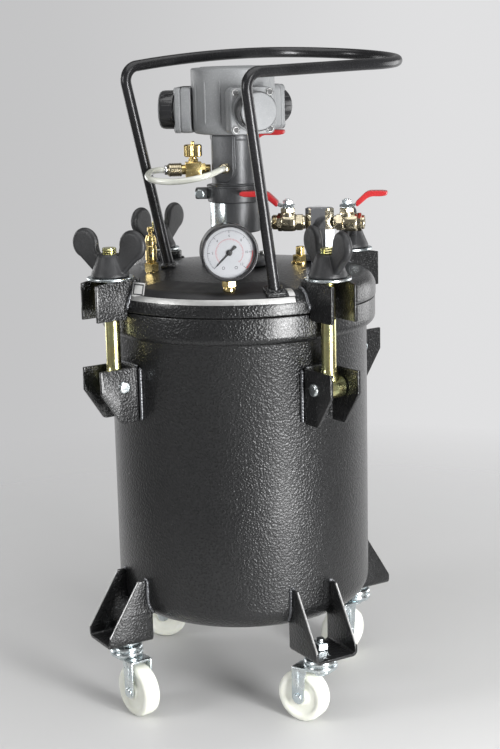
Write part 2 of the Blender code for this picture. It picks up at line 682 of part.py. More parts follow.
def make_manifold(parent, looks):
    finish(make_post(), parent, looks["chrome"])
    finish(make_dip_tube(), parent, looks["steel"])
    face = POST_HEX_R * math.sqrt(3.0) / 2.0
    lever_z = 17.0
    ends = {"left": (180.0, 52.0, 52.0, 19.0), "right": (0.0, 49.0, 44.0, 14.0)}
    for side, (turn, length, lever_length, inset) in ends.items():
        stem = face + GAP + 1.9 + inset
        body = make_ball_valve("ball_valve_" + side, face + GAP + 1.9, length, stem)
        finish(body, parent, looks["nickel"], (*POST_AT, VALVE_Z), (0.0, 0.0, turn))
        across = around(turn, stem, 0.0)
        at = (POST_AT[0] + across[0], POST_AT[1] + across[1], VALVE_Z + lever_z)
        finish(make_lever("valve_lever_" + side, lever_length), parent, looks["red"], at, (0.0, 0.0, turn))
    start = NECK_R + GAP + 0.6
    air_turn = (0.0, 0.0, AIR_VALVE_ANGLE)
    body = make_ball_valve("air_valve", start, start + 42.0, start + 19.0)
    finish(body, parent, looks["nickel"], (0.0, 0.0, AIR_VALVE_Z), air_turn)
    at = around(AIR_VALVE_ANGLE, start + 19.0, AIR_VALVE_Z + lever_z)
    finish(make_lever("valve_lever_air", 50.0), parent, looks["red"], at)


def make_relief(parent, looks):
    """Relief valve body, and the stem that a pull lifts."""
    base = hexagon("relief_valve", 15.0, 485.0, 506.0)
    barrel_profile = [(0.0, 500.0), (6.0, 500.0), (6.4, 512.0), (6.4, 532.0), (4.8, 537.0), (0.0, 537.0)]
    body = fuse(base, lathe("barrel", barrel_profile, 14))
    body = cut(body, rod("bore", 2.8, 526.0, 540.0, 10))
    body = cut(moved(body, (*RELIEF_AT, 0.0)), lid_cutter())
    finish(body, parent, looks["brass"])
    stem = rod("relief_stem", 2.4, -9.7, 4.0, 10)
    button = lathe("button", [(0.0, 3.0), (3.6, 3.0), (3.6, 8.0), (2.6, 9.0), (0.0, 9.0)], 10)
    finish(fuse(stem, button), parent, looks["brass"], (*RELIEF_AT, 537.0))


def make_plug():
    plug = fuse(hexagon("filler_plug", 17.0, 485.0, 506.0), rod("top", 5.0, 505.0, 517.0, 16))
    return cut(moved(plug, (*PLUG_AT, 0.0)), lid_cutter())


def make_needle_valve(parent, looks):
    """Speed valve on the motor's neck: body, hose nut and its knob."""
    start = NECK_R + GAP + 0.6
    profile = [(0.0, start), (5.0, start), (5.0, 37.0), (8.5, 37.0), (8.5, 55.0), (5.5, 55.0)]
    profile += [(5.5, 59.0), (7.5, 59.0), (7.5, 73.0), (5.0, 76.0), (0.0, 76.0)]
    body = moved(lathe("needle_valve", profile, 14), turn=(0.0, 90.0, 0.0))
    bonnet_profile = [(0.0, 4.0), (5.5, 4.0), (5.5, 13.4), (2.0, 13.4), (2.0, 31.0), (0.0, 31.0)]
    body = fuse(body, moved(lathe("bonnet", bonnet_profile, 10), (46.0, 0.0, 0.0)))
    turn = (0.0, 0.0, NEEDLE_VALVE_ANGLE)
    finish(body, parent, looks["brass"], (0.0, 0.0, NEEDLE_VALVE_Z), turn)
    knob_profile = [(2.5, 14.0), (9.2, 14.0), (10.0, 15.5), (10.0, 26.0), (8.7, 27.5), (2.5, 27.5)]
    at = around(NEEDLE_VALVE_ANGLE, 46.0, NEEDLE_VALVE_Z)
    finish(lathe("needle_valve_knob", knob_profile, 14), parent, looks["brass"], at, turn)


def curve_through(stops, steps):
    """Points on a smooth curve through the stops."""
    line = [Vector(stop) for stop in stops]
    line = [2 * line[0] - line[1]] + line + [2 * line[-1] - line[-2]]
    points = []
    for first, start, end, last in zip(line, line[1:], line[2:], line[3:]):
        for step in range(steps):
            t = step / steps
            pull = (end - first) * t + (2 * first - 5 * start + 4 * end - last) * t**2
            pull += (3 * start - first - 3 * end + last) * t**3
            points.append(start + pull / 2)
    points.append(line[-2])
    return points


def make_hose():
    start = around(NEEDLE_VALVE_ANGLE, 77.4, NEEDLE_VALVE_Z)
    end = around(HOSE_PAD_ANGLE, 37.2, 609.0)
    stops = [start, (-80.0, -22.8, 607.4), (-85.0, -29.0, 607.0), (-88.5, -38.5, 605.4), (-87.0, -51.0, 602.0)]
    stops += [(-77.0, -62.0, 599.5), (-57.0, -68.5, 598.5), (-36.0, -68.0, 600.5), (-18.0, -60.5, 604.3)]
    stops += [(-9.6, -49.5, 608.0), end]
    return swept("air_hose", curve_through(stops, 3), HOSE_R, 2)


def handle_point(along, across, height):
    """From the handle's own directions, 45 degrees round from X and Y."""
    half = math.sqrt(0.5)
    return Vector(((along - across) * half, (along + across) * half, height))


def bent_corner(before, corner, after, radius, steps=5):
    """Points of the bend that joins two straight runs of rod."""
    back = (before - corner).normalized()
    ahead = (after - corner).normalized()
    half = back.angle(ahead) / 2
    middle = corner + (back + ahead).normalized() * (radius / math.sin(half))
    first = corner + back * (radius / math.tan(half)) - middle
    last = corner + ahead * (radius / math.tan(half)) - middle
    return [middle + first.lerp(last, step / steps).normalized() * radius for step in range(steps + 1)]


def make_handle():
    """Push handle: two leaning legs and a long loop with a half-round end."""
    far, near = 48.5, -137.0
    far_z, near_z = 731.0, 718.0
    far_foot = handle_point(-60.0, far, 498.7)
    near_foot = handle_point(-48.4, near, 491.6)
    far_corner = handle_point(-111.0, far, 719.0)
    near_corner = handle_point(-81.0, near, 714.6)
    end_along = 77.0
    radius = (far - near) / 2
    loop = []
    for step in range(13):
        angle = math.pi * step / 12
        share = (1 - math.cos(angle)) / 2
        height = far_z + (near_z - far_z) * share
        across = (far + near) / 2 + radius * math.cos(angle)
        loop.append(handle_point(end_along + radius * math.sin(angle), across, height))
    rail = []
    for share in (0.25, 0.5, 0.75):
        rise = (loop[0].z - far_corner.z) * share * (1.0 - share)
        rail.append(far_corner.lerp(loop[0], share) + Vector((0.0, 0.0, rise)))
    path = [far_foot] + bent_corner(far_foot, far_corner, rail[0], HANDLE_BEND_R) + rail
    path += loop + bent_corner(loop[-1], near_corner, near_foot, HANDLE_BEND_R) + [near_foot]
    return swept("handle", path, ROD_R, 2)


# ------------------------------------------------------------------- build


def make_looks():
    return {
        "paint": material("hammered_paint", (0.085, 0.088, 0.093), 0.42, 0.55),
        "cast": material("grey_casting", (0.20, 0.205, 0.215), 0.50, 0.45),
        "black_cast": material("black_casting", (0.022, 0.022, 0.024), 0.45, 0.0),
        "yellow_zinc": material("yellow_zinc", (0.62, 0.56, 0.30), 0.30, 1.0),
        "zinc": material("bright_zinc", (0.66, 0.69, 0.69), 0.28, 1.0),
        "nylon": material("white_nylon", (0.80, 0.80, 0.74), 0.45, 0.0),
        "brass": material("brass", (0.62, 0.45, 0.16), 0.28, 1.0),
        "nickel": material("nickel_plate", (0.60, 0.56, 0.46), 0.25, 1.0),
        "chrome": material("chrome", (0.80, 0.80, 0.82), 0.08, 1.0),
        "steel": material("stainless_steel", (0.60, 0.60, 0.60), 0.30, 1.0),
        "red": material("red_vinyl", (0.55, 0.04, 0.035), 0.40, 0.0),
        "rubber": material("black_rubber", (0.02, 0.02, 0.02), 0.70, 0.0),
        "hose": material("silver_hose", (0.62, 0.64, 0.66), 0.35, 0.4),
        "black_plastic": material("black_plastic", (0.02, 0.02, 0.022), 0.40, 0.0),
        "needle": material("needle_black", (0.015, 0.015, 0.015), 0.50, 0.0),
    }


def build():
    clear_scene()
    looks = make_looks()
    pot = bpy.data.objects.new("pot_axis", None)
    bpy.context.scene.collection.objects.link(pot)
    pot.location = Vector((TANK_X, TANK_Y, -FLOOR_Z)) * MM
    finish(make_tank(), pot, looks["paint"])
    finish(make_lid(), pot, looks["paint"])
    finish(make_gasket(), pot, looks["rubber"])
    make_clamps(pot, looks)
    make_feet(pot, looks)
    make_motor(pot, looks)
    finish(make_gauge(), pot, looks["black_plastic"])
    finish(make_needle(), pot, looks["needle"], GAUGE_AT, (90.0, 0.0, GAUGE_TURN))
    make_manifold(pot, looks)
    make_relief(pot, looks)
    finish(make_plug(), pot, looks["brass"])
    make_needle_valve(pot, looks)
    for rod_piece, look in ((make_hose(), looks["hose"]), (make_handle(), looks["paint"])):
        rod_piece.data.materials.append(look)
        rod_piece.parent = pot


build()
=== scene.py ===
"""The stirred pressure pot, dressed on its CAD frame.

Shapes are drawn in millimetres about the tank's axis and turned into metres
as each piece is made. Z is up and the gauge looks along -Y.
"""

import json
import math

import bmesh
import bpy
from mathutils import Euler, Matrix, Vector, noise


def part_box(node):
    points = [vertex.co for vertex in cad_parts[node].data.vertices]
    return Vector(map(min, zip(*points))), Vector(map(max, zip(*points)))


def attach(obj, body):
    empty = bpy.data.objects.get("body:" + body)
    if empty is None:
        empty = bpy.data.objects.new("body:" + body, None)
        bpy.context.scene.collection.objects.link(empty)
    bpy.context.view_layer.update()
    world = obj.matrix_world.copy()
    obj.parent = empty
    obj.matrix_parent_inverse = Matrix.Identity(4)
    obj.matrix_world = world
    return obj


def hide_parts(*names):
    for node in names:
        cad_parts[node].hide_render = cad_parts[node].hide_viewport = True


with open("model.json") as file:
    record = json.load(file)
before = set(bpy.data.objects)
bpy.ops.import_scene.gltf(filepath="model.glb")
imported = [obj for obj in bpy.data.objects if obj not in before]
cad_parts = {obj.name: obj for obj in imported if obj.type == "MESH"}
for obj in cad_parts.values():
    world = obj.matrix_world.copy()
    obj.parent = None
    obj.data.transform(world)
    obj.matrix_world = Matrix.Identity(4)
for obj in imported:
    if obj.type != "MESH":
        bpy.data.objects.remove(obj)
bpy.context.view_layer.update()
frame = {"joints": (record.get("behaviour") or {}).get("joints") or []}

MM = 0.001
SHARP_ANGLE = math.radians(32.0)
tank_low, tank_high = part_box("tank")
AXIS = Vector(((tank_low.x + tank_high.x) / 2, (tank_low.y + tank_high.y) / 2, tank_low.z - 0.112))
JOINTS = {joint["name"]: joint for joint in frame["joints"]}
STILL = Matrix.Identity(4)

# The same dimensions as the CAD, in millimetres
TANK_R = 145.0
TANK_WALL = 2.5
TANK_BOTTOM_Z = 114.0
KNUCKLE_R = 26.0
FLANGE_R = 154.8
FLANGE_TOP_Z = 464.2
LID_R = 155.5
LID_LOW_Z = 465.0
LID_TOP_Z = 500.0
DOME_DROP = 9.5
SHOULDER_R = 140.0
SHOULDER_LOW_Z = 474.0
BOLT_CIRCLE_R = 165.0
PIN_Z = 385.0
CASTER_R = 158.0
AXLE_Z = 33.5
HEAD_Z = 672.0
NECK_R = 26.6
CLAMP_ANGLES = {"front_left": -135.0, "front_right": -45.0, "rear_right": 45.0, "rear_left": 135.0}
WING_ANGLES = {"front_left": -22.0, "front_right": -54.0, "rear_right": 100.0, "rear_left": 63.0}
TRAIL_ANGLES = {"front_left": -42.0, "front_right": 155.0, "rear_right": -130.0, "rear_left": 180.0}
FOOT_TURN = -4.0
HEAD_ANGLES = {"left": 180.0, "front": -60.0, "rear": 60.0}
GAUGE_TURN = 17.0
VALVE_Z = 551.0
AIR_VALVE_ANGLE = 90.0
AIR_VALVE_Z = 612.0
NEEDLE_VALVE_ANGLE = 195.0
NEEDLE_VALVE_Z = 607.0
HOSE_PAD_ANGLE = -100.0
PRINT_LEVELS = (9.15, 9.22)


def local(point):
    """A row-frame point in metres as millimetres about the tank's axis."""
    return (Vector(point) - AXIS) / MM


post_low, post_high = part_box("manifold_post")
POST = local((post_low + post_high) / 2)
GAUGE = local(JOINTS["gauge_needle_turn"]["pos_m"])
RELIEF = local(JOINTS["relief_pull"]["pos_m"])
plug_low, plug_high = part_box("filler_plug")
PLUG = local((plug_low + plug_high) / 2)


# --------------------------------------------------------------- materials


class Nodes:
    """Adds and links shader nodes of one material."""

    def __init__(self, name):
        self.material = bpy.data.materials.new(name)
        self.material.use_nodes = True
        self.tree = self.material.node_tree
        self.shader = self.tree.nodes["Principled BSDF"]
        coordinates = self.tree.nodes.new("ShaderNodeTexCoord")
        self.place = coordinates.outputs["Object"]

    def add(self, kind, inputs=None, **settings):
        node = self.tree.nodes.new("ShaderNode" + kind)
        for key, value in settings.items():
            setattr(node, key, value)
        for key, value in (inputs or {}).items():
            self.put(node.inputs[key], value)
        return node

    def put(self, socket, value):
        if isinstance(value, bpy.types.NodeSocket):
            self.tree.links.new(value, socket)
        else:
            socket.default_value = value

    def noise(self, scale, detail=3.0, roughness=0.5, distortion=0.0):
        facts = {"Vector": self.place, "Scale": scale, "Detail": detail}
        facts.update({"Roughness": roughness, "Distortion": distortion})
        return self.add("TexNoise", facts).outputs["Fac"]

    def ramp(self, value, *stops):
        """A colour ramp; each stop is (position, grey) or (position, colour)."""
        node = self.add("ValToRGB", {"Fac": value})
        elements = node.color_ramp.elements
        while len(elements) < len(stops):
            elements.new(0.5)
        for element, (position, shade) in zip(elements, stops):
            element.position = position
            element.color = (shade, shade, shade, 1.0) if isinstance(shade, float) else (*shade, 1.0)
        return node.outputs["Color"]

    def mix(self, share, first, second):
        """Blends two colours by a share from 0 to 1."""
        node = self.add("Mix", data_type="RGBA")
        for socket, value in zip((node.inputs[0], node.inputs[6], node.inputs[7]), (share, first, second)):
            if isinstance(value, tuple):
                value = (*value, 1.0)
            self.put(socket, value)
        return node.outputs[2]

    def math(self, operation, first, second=0.0):
        node = self.add("Math", operation=operation)
        self.put(node.inputs[0], first)
        self.put(node.inputs[1], second)
        return node.outputs[0]

    def bump(self, height, strength, distance, below=None):
        facts = {"Height": height, "Strength": strength, "Distance": distance}
        if below is not None:
            facts["Normal"] = below
        return self.add("Bump", facts).outputs["Normal"]

    def finish(self, **inputs):
        for key, value in inputs.items():
            label = key.replace("_", " ").title().replace("Ior", "IOR")
            if isinstance(value, tuple) and len(value) == 3:
                value = (*value, 1.0)
            self.put(self.shader.inputs[label], value)
        return self.material


def hammered(name, dark, light, cell, dent, rough):
    """Hammered enamel: shallow dimples with a metallic bloom between them."""
    n = Nodes(name)
    warp = n.add("TexNoise", {"Vector": n.place, "Scale": 420.0, "Detail": 2.0}).outputs["Color"]
    sway = n.add("VectorMath", {0: warp, 1: (0.0013, 0.0013, 0.0013)}, operation="MULTIPLY")
    spot = n.add("VectorMath", {0: n.place, 1: sway.outputs["Vector"]}, operation="ADD").outputs["Vector"]
    cells = n.add("TexVoronoi", {"Vector": spot, "Scale": cell, "Smoothness": 0.7}, feature="SMOOTH_F1")
    far = cells.outputs["Distance"]
    bloom = n.ramp(far, (0.15, 0.0), (0.60, 1.0))
    fleck = n.ramp(n.noise(1100.0, 2.0), (0.52, 0.0), (0.78, 1.0))
    shade = n.mix(bloom, dark, light)
    shade = n.mix(n.math("MULTIPLY", fleck, 0.2), shade, tuple(min(1.0, part * 1.8) for part in light))
    shade = n.mix(n.ramp(n.noise(14.0, 3.0), (0.3, 0.0), (0.7, 0.3)), shade, dark)
    wear = n.ramp(far, (0.1, rough[0]), (0.6, rough[1]))
    fine = n.bump(n.noise(1500.0, 2.0), 0.08, 0.0002)
    dents = n.bump(n.math("MULTIPLY", far, -1.0), dent, 0.0009, fine)
    return n.finish(
        base_color=shade, metallic=0.5, roughness=wear, normal=dents, coat_weight=0.5, coat_roughness=0.22
    )


def cast_paint(name, dark, light, metallic=0.35, rough=(0.34, 0.5), grain=520.0, depth=0.35):
    """Painted sand casting: fine grain under a satin coat."""
    n = Nodes(name)
    broad = n.noise(22.0, 4.0)
    fine = n.noise(grain, 3.0, 0.6)
    shade = n.mix(n.ramp(broad, (0.3, 0.0), (0.7, 1.0)), dark, light)
    shade = n.mix(n.ramp(fine, (0.5, 0.0), (0.8, 0.3)), shade, tuple(min(1.0, part * 1.7) for part in light))
    wear = n.ramp(fine, (0.3, rough[0]), (0.7, rough[1]))
    skin = n.bump(fine, depth, 0.0004)
    skin = n.bump(n.noise(90.0, 2.0), 0.12, 0.001, skin)
    return n.finish(base_color=shade, metallic=metallic, roughness=wear, normal=skin)


def plated(name, main, tint, rough=(0.16, 0.32), patch=70.0, tint_share=0.8, scratch=0.10):
    """Plated or bare metal: a drifting tint, soft smudges and fine scratches."""
    n = Nodes(name)
    drift = n.noise(patch, 4.0, 0.55, 0.6)
    smudge = n.noise(patch * 2.3, 4.0)
    stretched = n.add("Mapping", {"Vector": n.place, "Scale": (1.0, 1.0, 0.06)}).outputs["Vector"]
    lines = n.add("TexNoise", {"Vector": stretched, "Scale": 1800.0, "Detail": 2.0}).outputs["Fac"]
    share = n.ramp(drift, (0.38, 0.0), (0.66, tint_share))
    shade = n.mix(share, main, tint)
    dust = n.ramp(smudge, (0.55, 0.0), (0.8, 0.35))
    shade = n.mix(dust, shade, tuple(part * 0.55 for part in main))
    wear = n.ramp(smudge, (0.3, rough[0]), (0.75, rough[1]))
    return n.finish(base_color=shade, metallic=1.0, roughness=wear, normal=n.bump(lines, scratch, 0.0002))


def moulded(name, dark, light, rough=(0.32, 0.45), grain=800.0, depth=0.08, coat=0.0, body=0.0):
    """Moulded plastic, rubber or vinyl with a faint skin texture."""
    n = Nodes(name)
    broad = n.noise(35.0, 3.0)
    shade = n.mix(n.ramp(broad, (0.3, 0.0), (0.7, 1.0)), dark, light)
    fine = n.noise(grain, 2.0)
    wear = n.ramp(n.noise(60.0, 3.0), (0.3, rough[0]), (0.7, rough[1]))
    skin = n.bump(fine, depth, 0.0003)
    look = n.finish(base_color=shade, roughness=wear, normal=skin, coat_weight=coat)
    n.put(n.shader.inputs["Subsurface Weight"], body)
    n.put(n.shader.inputs["Subsurface Radius"], (0.004, 0.004, 0.003))
    return look


def clear_glass(name):
    """Gauge glass: clear from the front, bright where light glances off it."""
    n = Nodes(name)
    clear = n.add("BsdfTransparent").outputs[0]
    smear = n.ramp(n.noise(120.0, 3.0), (0.4, 0.02), (0.8, 0.10))
    gloss = n.add("BsdfGlossy", {"Roughness": smear}).outputs[0]
    edge = n.add("Fresnel", {"IOR": 1.35}).outputs[0]
    both = n.add("MixShader", {0: edge, 1: clear, 2: gloss}).outputs[0]
    output = n.tree.nodes["Material Output"]
    n.tree.links.new(both, output.inputs["Surface"])
    return n.material


LOOKS = {
    "paint": hammered(
        "hammered_paint", (0.007, 0.0072, 0.0076), (0.021, 0.0214, 0.0222), 440.0, 0.8, (0.26, 0.34)
    ),
    "rod_paint": cast_paint(
        "rod_paint", (0.014, 0.014, 0.015), (0.026, 0.026, 0.028), 0.35, (0.20, 0.30), 700.0, 0.05
    ),
    "dark_grey": cast_paint(
        "dark_casting", (0.045, 0.047, 0.050), (0.078, 0.080, 0.084), 0.35, (0.30, 0.44)
    ),
    "grey": cast_paint("grey_casting", (0.19, 0.196, 0.202), (0.26, 0.267, 0.273), 0.15, (0.46, 0.60)),
    "black_cast": cast_paint(
        "black_casting", (0.014, 0.014, 0.015), (0.035, 0.036, 0.038), 0.1, (0.36, 0.55), 420.0, 0.5
    ),
    # Weld beads: the tank's dark enamel drawn several times lighter and more metallic, a painted highlight on
    # their glossy bumps.
    "weld": cast_paint(
        "weld_enamel_painted_highlight", (0.07, 0.072, 0.078), (0.20, 0.205, 0.215), 0.7, (0.22, 0.4), 300.0, 0.6
    ),
    "yellow_zinc": plated("yellow_zinc", (0.70, 0.62, 0.30), (0.62, 0.70, 0.38), (0.16, 0.30), 55.0),
    "zinc": plated("bright_zinc", (0.70, 0.74, 0.74), (0.58, 0.66, 0.70), (0.18, 0.34), 60.0),
    # Pale metal for the feet's slanted edges, which carry the tank's enamel: a painted highlight.
    "cut_zinc": plated("painted_edge_highlight", (0.78, 0.78, 0.78), (0.62, 0.62, 0.60), (0.3, 0.5), 120.0),
    "brass": plated("brass", (0.82, 0.66, 0.32), (0.72, 0.54, 0.21), (0.14, 0.30), 80.0),
    "nickel": plated("nickel_plate", (0.60, 0.54, 0.40), (0.46, 0.40, 0.27), (0.14, 0.30), 80.0),
    "chrome": plated("chrome", (0.86, 0.87, 0.89), (0.74, 0.76, 0.80), (0.04, 0.12), 50.0, 0.5, 0.03),
    "dark_steel": plated("dark_steel", (0.20, 0.20, 0.20), (0.12, 0.12, 0.12), (0.28, 0.42), 60.0),
    "steel": plated("stainless_steel", (0.62, 0.62, 0.61), (0.52, 0.52, 0.50), (0.22, 0.36), 60.0),
    "nylon": moulded(
        "white_nylon", (0.74, 0.75, 0.66), (0.84, 0.85, 0.78), (0.28, 0.42), 500.0, 0.10, 0.15, 0.25
    ),
    "red": moulded("red_vinyl", (0.34, 0.012, 0.016), (0.46, 0.028, 0.03), (0.24, 0.36), 260.0, 0.15, 0.3),
    "rubber": moulded("black_rubber", (0.012, 0.012, 0.012), (0.03, 0.03, 0.03), (0.55, 0.75), 500.0, 0.25),
    "black": moulded(
        "black_enamel", (0.009, 0.009, 0.010), (0.018, 0.018, 0.020), (0.22, 0.34), 700.0, 0.12, 0.4
    ),
    "cup": moulded(
        "black_cap", (0.008, 0.008, 0.009), (0.020, 0.020, 0.022), (0.22, 0.36), 400.0, 0.12, 0.5
    ),
    "hose": moulded(
        "silver_hose", (0.46, 0.47, 0.42), (0.72, 0.73, 0.66), (0.10, 0.22), 600.0, 0.05, 0.8, 0.1
    ),
    "dial": moulded("dial_face", (0.36, 0.37, 0.39), (0.42, 0.43, 0.45), (0.4, 0.5), 700.0, 0.02),
    "ink": moulded("dial_black_ink", (0.012, 0.012, 0.014), (0.03, 0.03, 0.034), (0.4, 0.55), 700.0, 0.02),
    "red_ink": moulded("dial_red_ink", (0.35, 0.02, 0.02), (0.46, 0.04, 0.04), (0.4, 0.55), 700.0, 0.02),
    "needle": moulded(
        "needle_black", (0.010, 0.010, 0.010), (0.022, 0.022, 0.022), (0.35, 0.5), 500.0, 0.05
    ),
    "label": moulded(
        "label_black", (0.004, 0.004, 0.005), (0.009, 0.009, 0.010), (0.40, 0.55), 300.0, 0.03
    ),
    "label_edge": plated("label_silver", (0.64, 0.64, 0.63), (0.50, 0.50, 0.49), (0.36, 0.52), 50.0),
    "glass": clear_glass("gauge_glass"),
}

# The CAD material slot that each look goes with
for slot_name, looks in (
    ("hammered_paint", "paint rod_paint weld cut_zinc"),
    ("grey_casting", "dark_grey grey"),
    ("black_casting", "black_cast"),
    ("yellow_zinc", "yellow_zinc"),
    ("bright_zinc", "zinc label_edge"),
    ("brass", "brass"),
    ("nickel_plate", "nickel"),
    ("chrome_plate", "chrome glass"),
    ("stainless_steel", "dark_steel steel"),
    ("white_nylon", "nylon dial"),
    ("red_vinyl", "red"),
    ("black_rubber", "rubber"),
    ("black_plastic", "black cup ink red_ink label"),
    ("silver_hose", "hose"),
    ("needle_black", "needle"),
):
    dict.fromkeys(looks.split(), slot_name)


# ------------------------------------------------------------ mesh building


def soften(outline, radius, steps=4, closed=False):
    """Rounds the corners of a polyline, never past the middle of a side."""
    count = len(outline)
    points = []
    for index, corner in enumerate(outline):
        here = Vector(corner)
        if not closed and index in (0, count - 1):
            points.append(tuple(here))
            continue
        back = Vector(outline[index - 1]) - here
        ahead = Vector(outline[(index + 1) % count]) - here
        reach = min(radius, 0.45 * back.length, 0.45 * ahead.length)
        first = here + back.normalized() * reach
        last = here + ahead.normalized() * reach
        for step in range(steps + 1):
            t = step / steps
            points.append(tuple(first * (1 - t) ** 2 + here * 2 * t * (1 - t) + last * t**2))
    return points


def arc(center, radius, start, end, steps):
    """Points of an arc between two angles in degrees."""
    points = []
    for step in range(steps + 1):
        angle = math.radians(start + (end - start) * step / steps)
        points.append((center[0] + radius * math.cos(angle), center[1] + radius * math.sin(angle)))
    return points


def around(angle, radius, height=0.0):
    """The point on a bearing, at a distance from the axis and a height."""
    turn = math.radians(angle)
    return Vector((radius * math.cos(turn), radius * math.sin(turn), height))


def at(shift=(0.0, 0.0, 0.0), turn=(0.0, 0.0, 0.0)):
    """A placement: turned by XYZ angles in degrees, then shifted."""
    spin = Euler([math.radians(angle) for angle in turn]).to_matrix().to_4x4()
    return Matrix.Translation(Vector(shift)) @ spin


def spun(angle, shift=(0.0, 0.0, 0.0)):
    """A placement: turned about Z, then shifted."""
    return at(shift, (0.0, 0.0, angle))


ALONG_X = at(turn=(0.0, 90.0, 0.0))
ALONG_Y = at(turn=(90.0, 0.0, 0.0))


def plate(left, low, right, high, corner, steps=4):
    """A rectangle with rounded corners."""
    return soften([(left, low), (right, low), (right, high), (left, high)], corner, steps, True)


def link_object(name, data):
    """Makes an object of some data and adds it to the scene."""
    item = bpy.data.objects.new(name, data)
    bpy.context.scene.collection.objects.link(item)
    return item


def take_mesh(work, name):
    """Turns a bmesh into a mesh and frees it."""
    mesh = bpy.data.meshes.new(name)
    work.to_mesh(mesh)
    work.free()
    return mesh


def mesh_from(points, faces):
    """A bmesh with its faces turned outward."""
    work = bmesh.new()
    verts = [work.verts.new(point) for point in points]
    for face in faces:
        work.faces.new([verts[index] for index in face])
    bmesh.ops.recalc_face_normals(work, faces=work.faces)
    return work


def band_faces(rings, segments, closed=False):
    """Quads between neighbouring rings, and from the last back to the first when closed."""
    faces = []
    for ring in range(rings if closed else rings - 1):
        here, there = ring * segments, (ring + 1) % rings * segments
        for step in range(segments):
            after = (step + 1) % segments
            faces.append([here + step, here + after, there + after, there + step])
    return faces


def end_faces(rings, segments):
    """The two flat ends of a stack of rings."""
    return [list(range(segments)), list(range((rings - 1) * segments, rings * segments))]


def round_edges(work, width, steps=2):
    """Bevels every sharp edge."""
    edges = [e for e in work.edges if e.is_manifold and e.calc_face_angle() > SHARP_ANGLE]
    if edges and width > 0.0:
        bmesh.ops.bevel(
            work, geom=edges, offset=width, segments=steps, profile=0.5, affect="EDGES", clamp_overlap=True
        )


def merge(target, part, place=STILL):
    """Adds a part to a bmesh at its place, and frees the part."""
    part.transform(place)
    mesh = take_mesh(part, "part")
    target.from_mesh(mesh)
    bpy.data.meshes.remove(mesh)


def add_lathe(target, profile, place=STILL, segments=64):
    """A turned solid about Z from a closed profile of (radius, height) points."""
    points = []
    rings = []
    for radius, height in profile:
        count = segments if radius > 1e-4 else 1
        rings.append([len(points) + step % count for step in range(segments)])
        points += [around(360.0 * step / segments, radius, height) for step in range(count)]
    faces = []
    for index, ring in enumerate(rings):
        other = rings[(index + 1) % len(rings)]
        for step in range(segments):
            after = (step + 1) % segments
            unique = list(dict.fromkeys([ring[step], ring[after], other[after], other[step]]))
            if len(unique) > 2:
                faces.append(unique)
    merge(target, mesh_from(points, faces), place)


def add_turned(target, outline, radius, place=STILL, segments=48):
    """A turned solid with rounded corners; an outline that stops short of the axis gets flat ends."""
    (first, low), (last, high) = outline[0], outline[-1]
    profile = ([(0.0, low)] if first else []) + outline + ([(0.0, high)] if last else [])
    add_lathe(target, soften(profile, radius), place, segments)


def add_rivet(target, end, radius, place):
    """A riveted pin through its place; end is the outline of its lower end, from the head inwards."""
    add_turned(target, end + [(far, -height) for far, height in end[::-1]], radius, place, 32)


def add_ring(target, profile, radius, place=STILL, segments=64):
    """A turned ring from a closed profile, corners rounded."""
    add_lathe(target, soften(profile, radius, closed=True), place, segments)


def add_prism(target, outline, low, high, place=STILL, along="Z", edge=0.6, steps=2):
    """An outline swept straight along an axis, with its edges rounded."""
    order = {"Z": (0, 1, 2), "Y": (0, 2, 1), "X": (2, 0, 1)}[along]
    count = len(outline)
    points = [[(*spot, level)[source] for source in order] for level in (low, high) for spot in outline]
    work = mesh_from(points, band_faces(2, count) + end_faces(2, count))
    round_edges(work, edge, steps)
    merge(target, work, place)


def add_hex(target, flats, low, high, place=STILL, chamfer=True):
    """A hexagon bar or nut whose corners are turned off at both ends."""
    apothem = flats / 2
    segments = 48
    bearings = [360.0 * step / segments for step in range(segments)]
    reach = [apothem / math.cos(math.radians((bearing + 30.0) % 60.0 - 30.0)) for bearing in bearings]
    drop = [0.577 * (far - apothem) + 0.25 if chamfer else 0.0 for far in reach]
    rings = [
        [(0.0, low)] * segments,
        [(apothem - 0.4, low)] * segments,
        [(far, low + down) for far, down in zip(reach, drop)],
        [(far, high - down) for far, down in zip(reach, drop)],
        [(apothem - 0.4, high)] * segments,
        [(0.0, high)] * segments,
    ]
    points = [around(bearing, *spot) for ring in rings for bearing, spot in zip(bearings, ring)]
    work = mesh_from(points, band_faces(len(rings), segments))
    bmesh.ops.remove_doubles(work, verts=work.verts, dist=1e-4)
    bmesh.ops.recalc_face_normals(work, faces=work.faces)
    merge(target, work, place)


def add_tube(target, path, radius, place=STILL, segments=20):
    """A round tube along points; radius may be one number or one for each point."""
    line = [Vector(point) for point in path]
    count = len(line)
    sizes = [radius] * count if isinstance(radius, (int, float)) else radius
    tangents = []
    for index in range(count):
        before, after = line[max(index - 1, 0)], line[min(index + 1, count - 1)]
        tangents.append((after - before).normalized())
    side = tangents[0].orthogonal().normalized()
    points = []
    for index, (spot, tangent, size) in enumerate(zip(line, tangents, sizes)):
        if index:
            side = (tangents[index - 1].rotation_difference(tangent) @ side).normalized()
        up = tangent.cross(side).normalized()
        for step in range(segments):
            angle = 2 * math.pi * step / segments
            points.append(spot + (side * math.cos(angle) + up * math.sin(angle)) * size)
    faces = band_faces(count, segments) + end_faces(count, segments)
    merge(target, mesh_from(points, faces), place)


def add_weld(target, path, size, place=STILL, seed=0.0):
    """A weld bead: overlapping scallops of uneven size along a path."""
    line = [Vector(point) for point in path]
    dense = []
    for first, last in zip(line, line[1:]):
        steps = max(2, int((last - first).length / 0.7))
        dense += [first.lerp(last, step / steps) for step in range(steps)]
    dense.append(line[-1])
    sizes = []
    for index in range(len(dense)):
        wave = 0.12 * abs(math.sin(index * 0.62))
        lump = 0.16 * noise.noise(Vector((index * 0.11, seed, 0.3)))
        taper = min(1.0, 0.45 + 0.2 * min(index, len(dense) - 1 - index))
        sizes.append(size * (0.92 + wave + lump) * taper)
    add_tube(target, dense, sizes, place, 10)


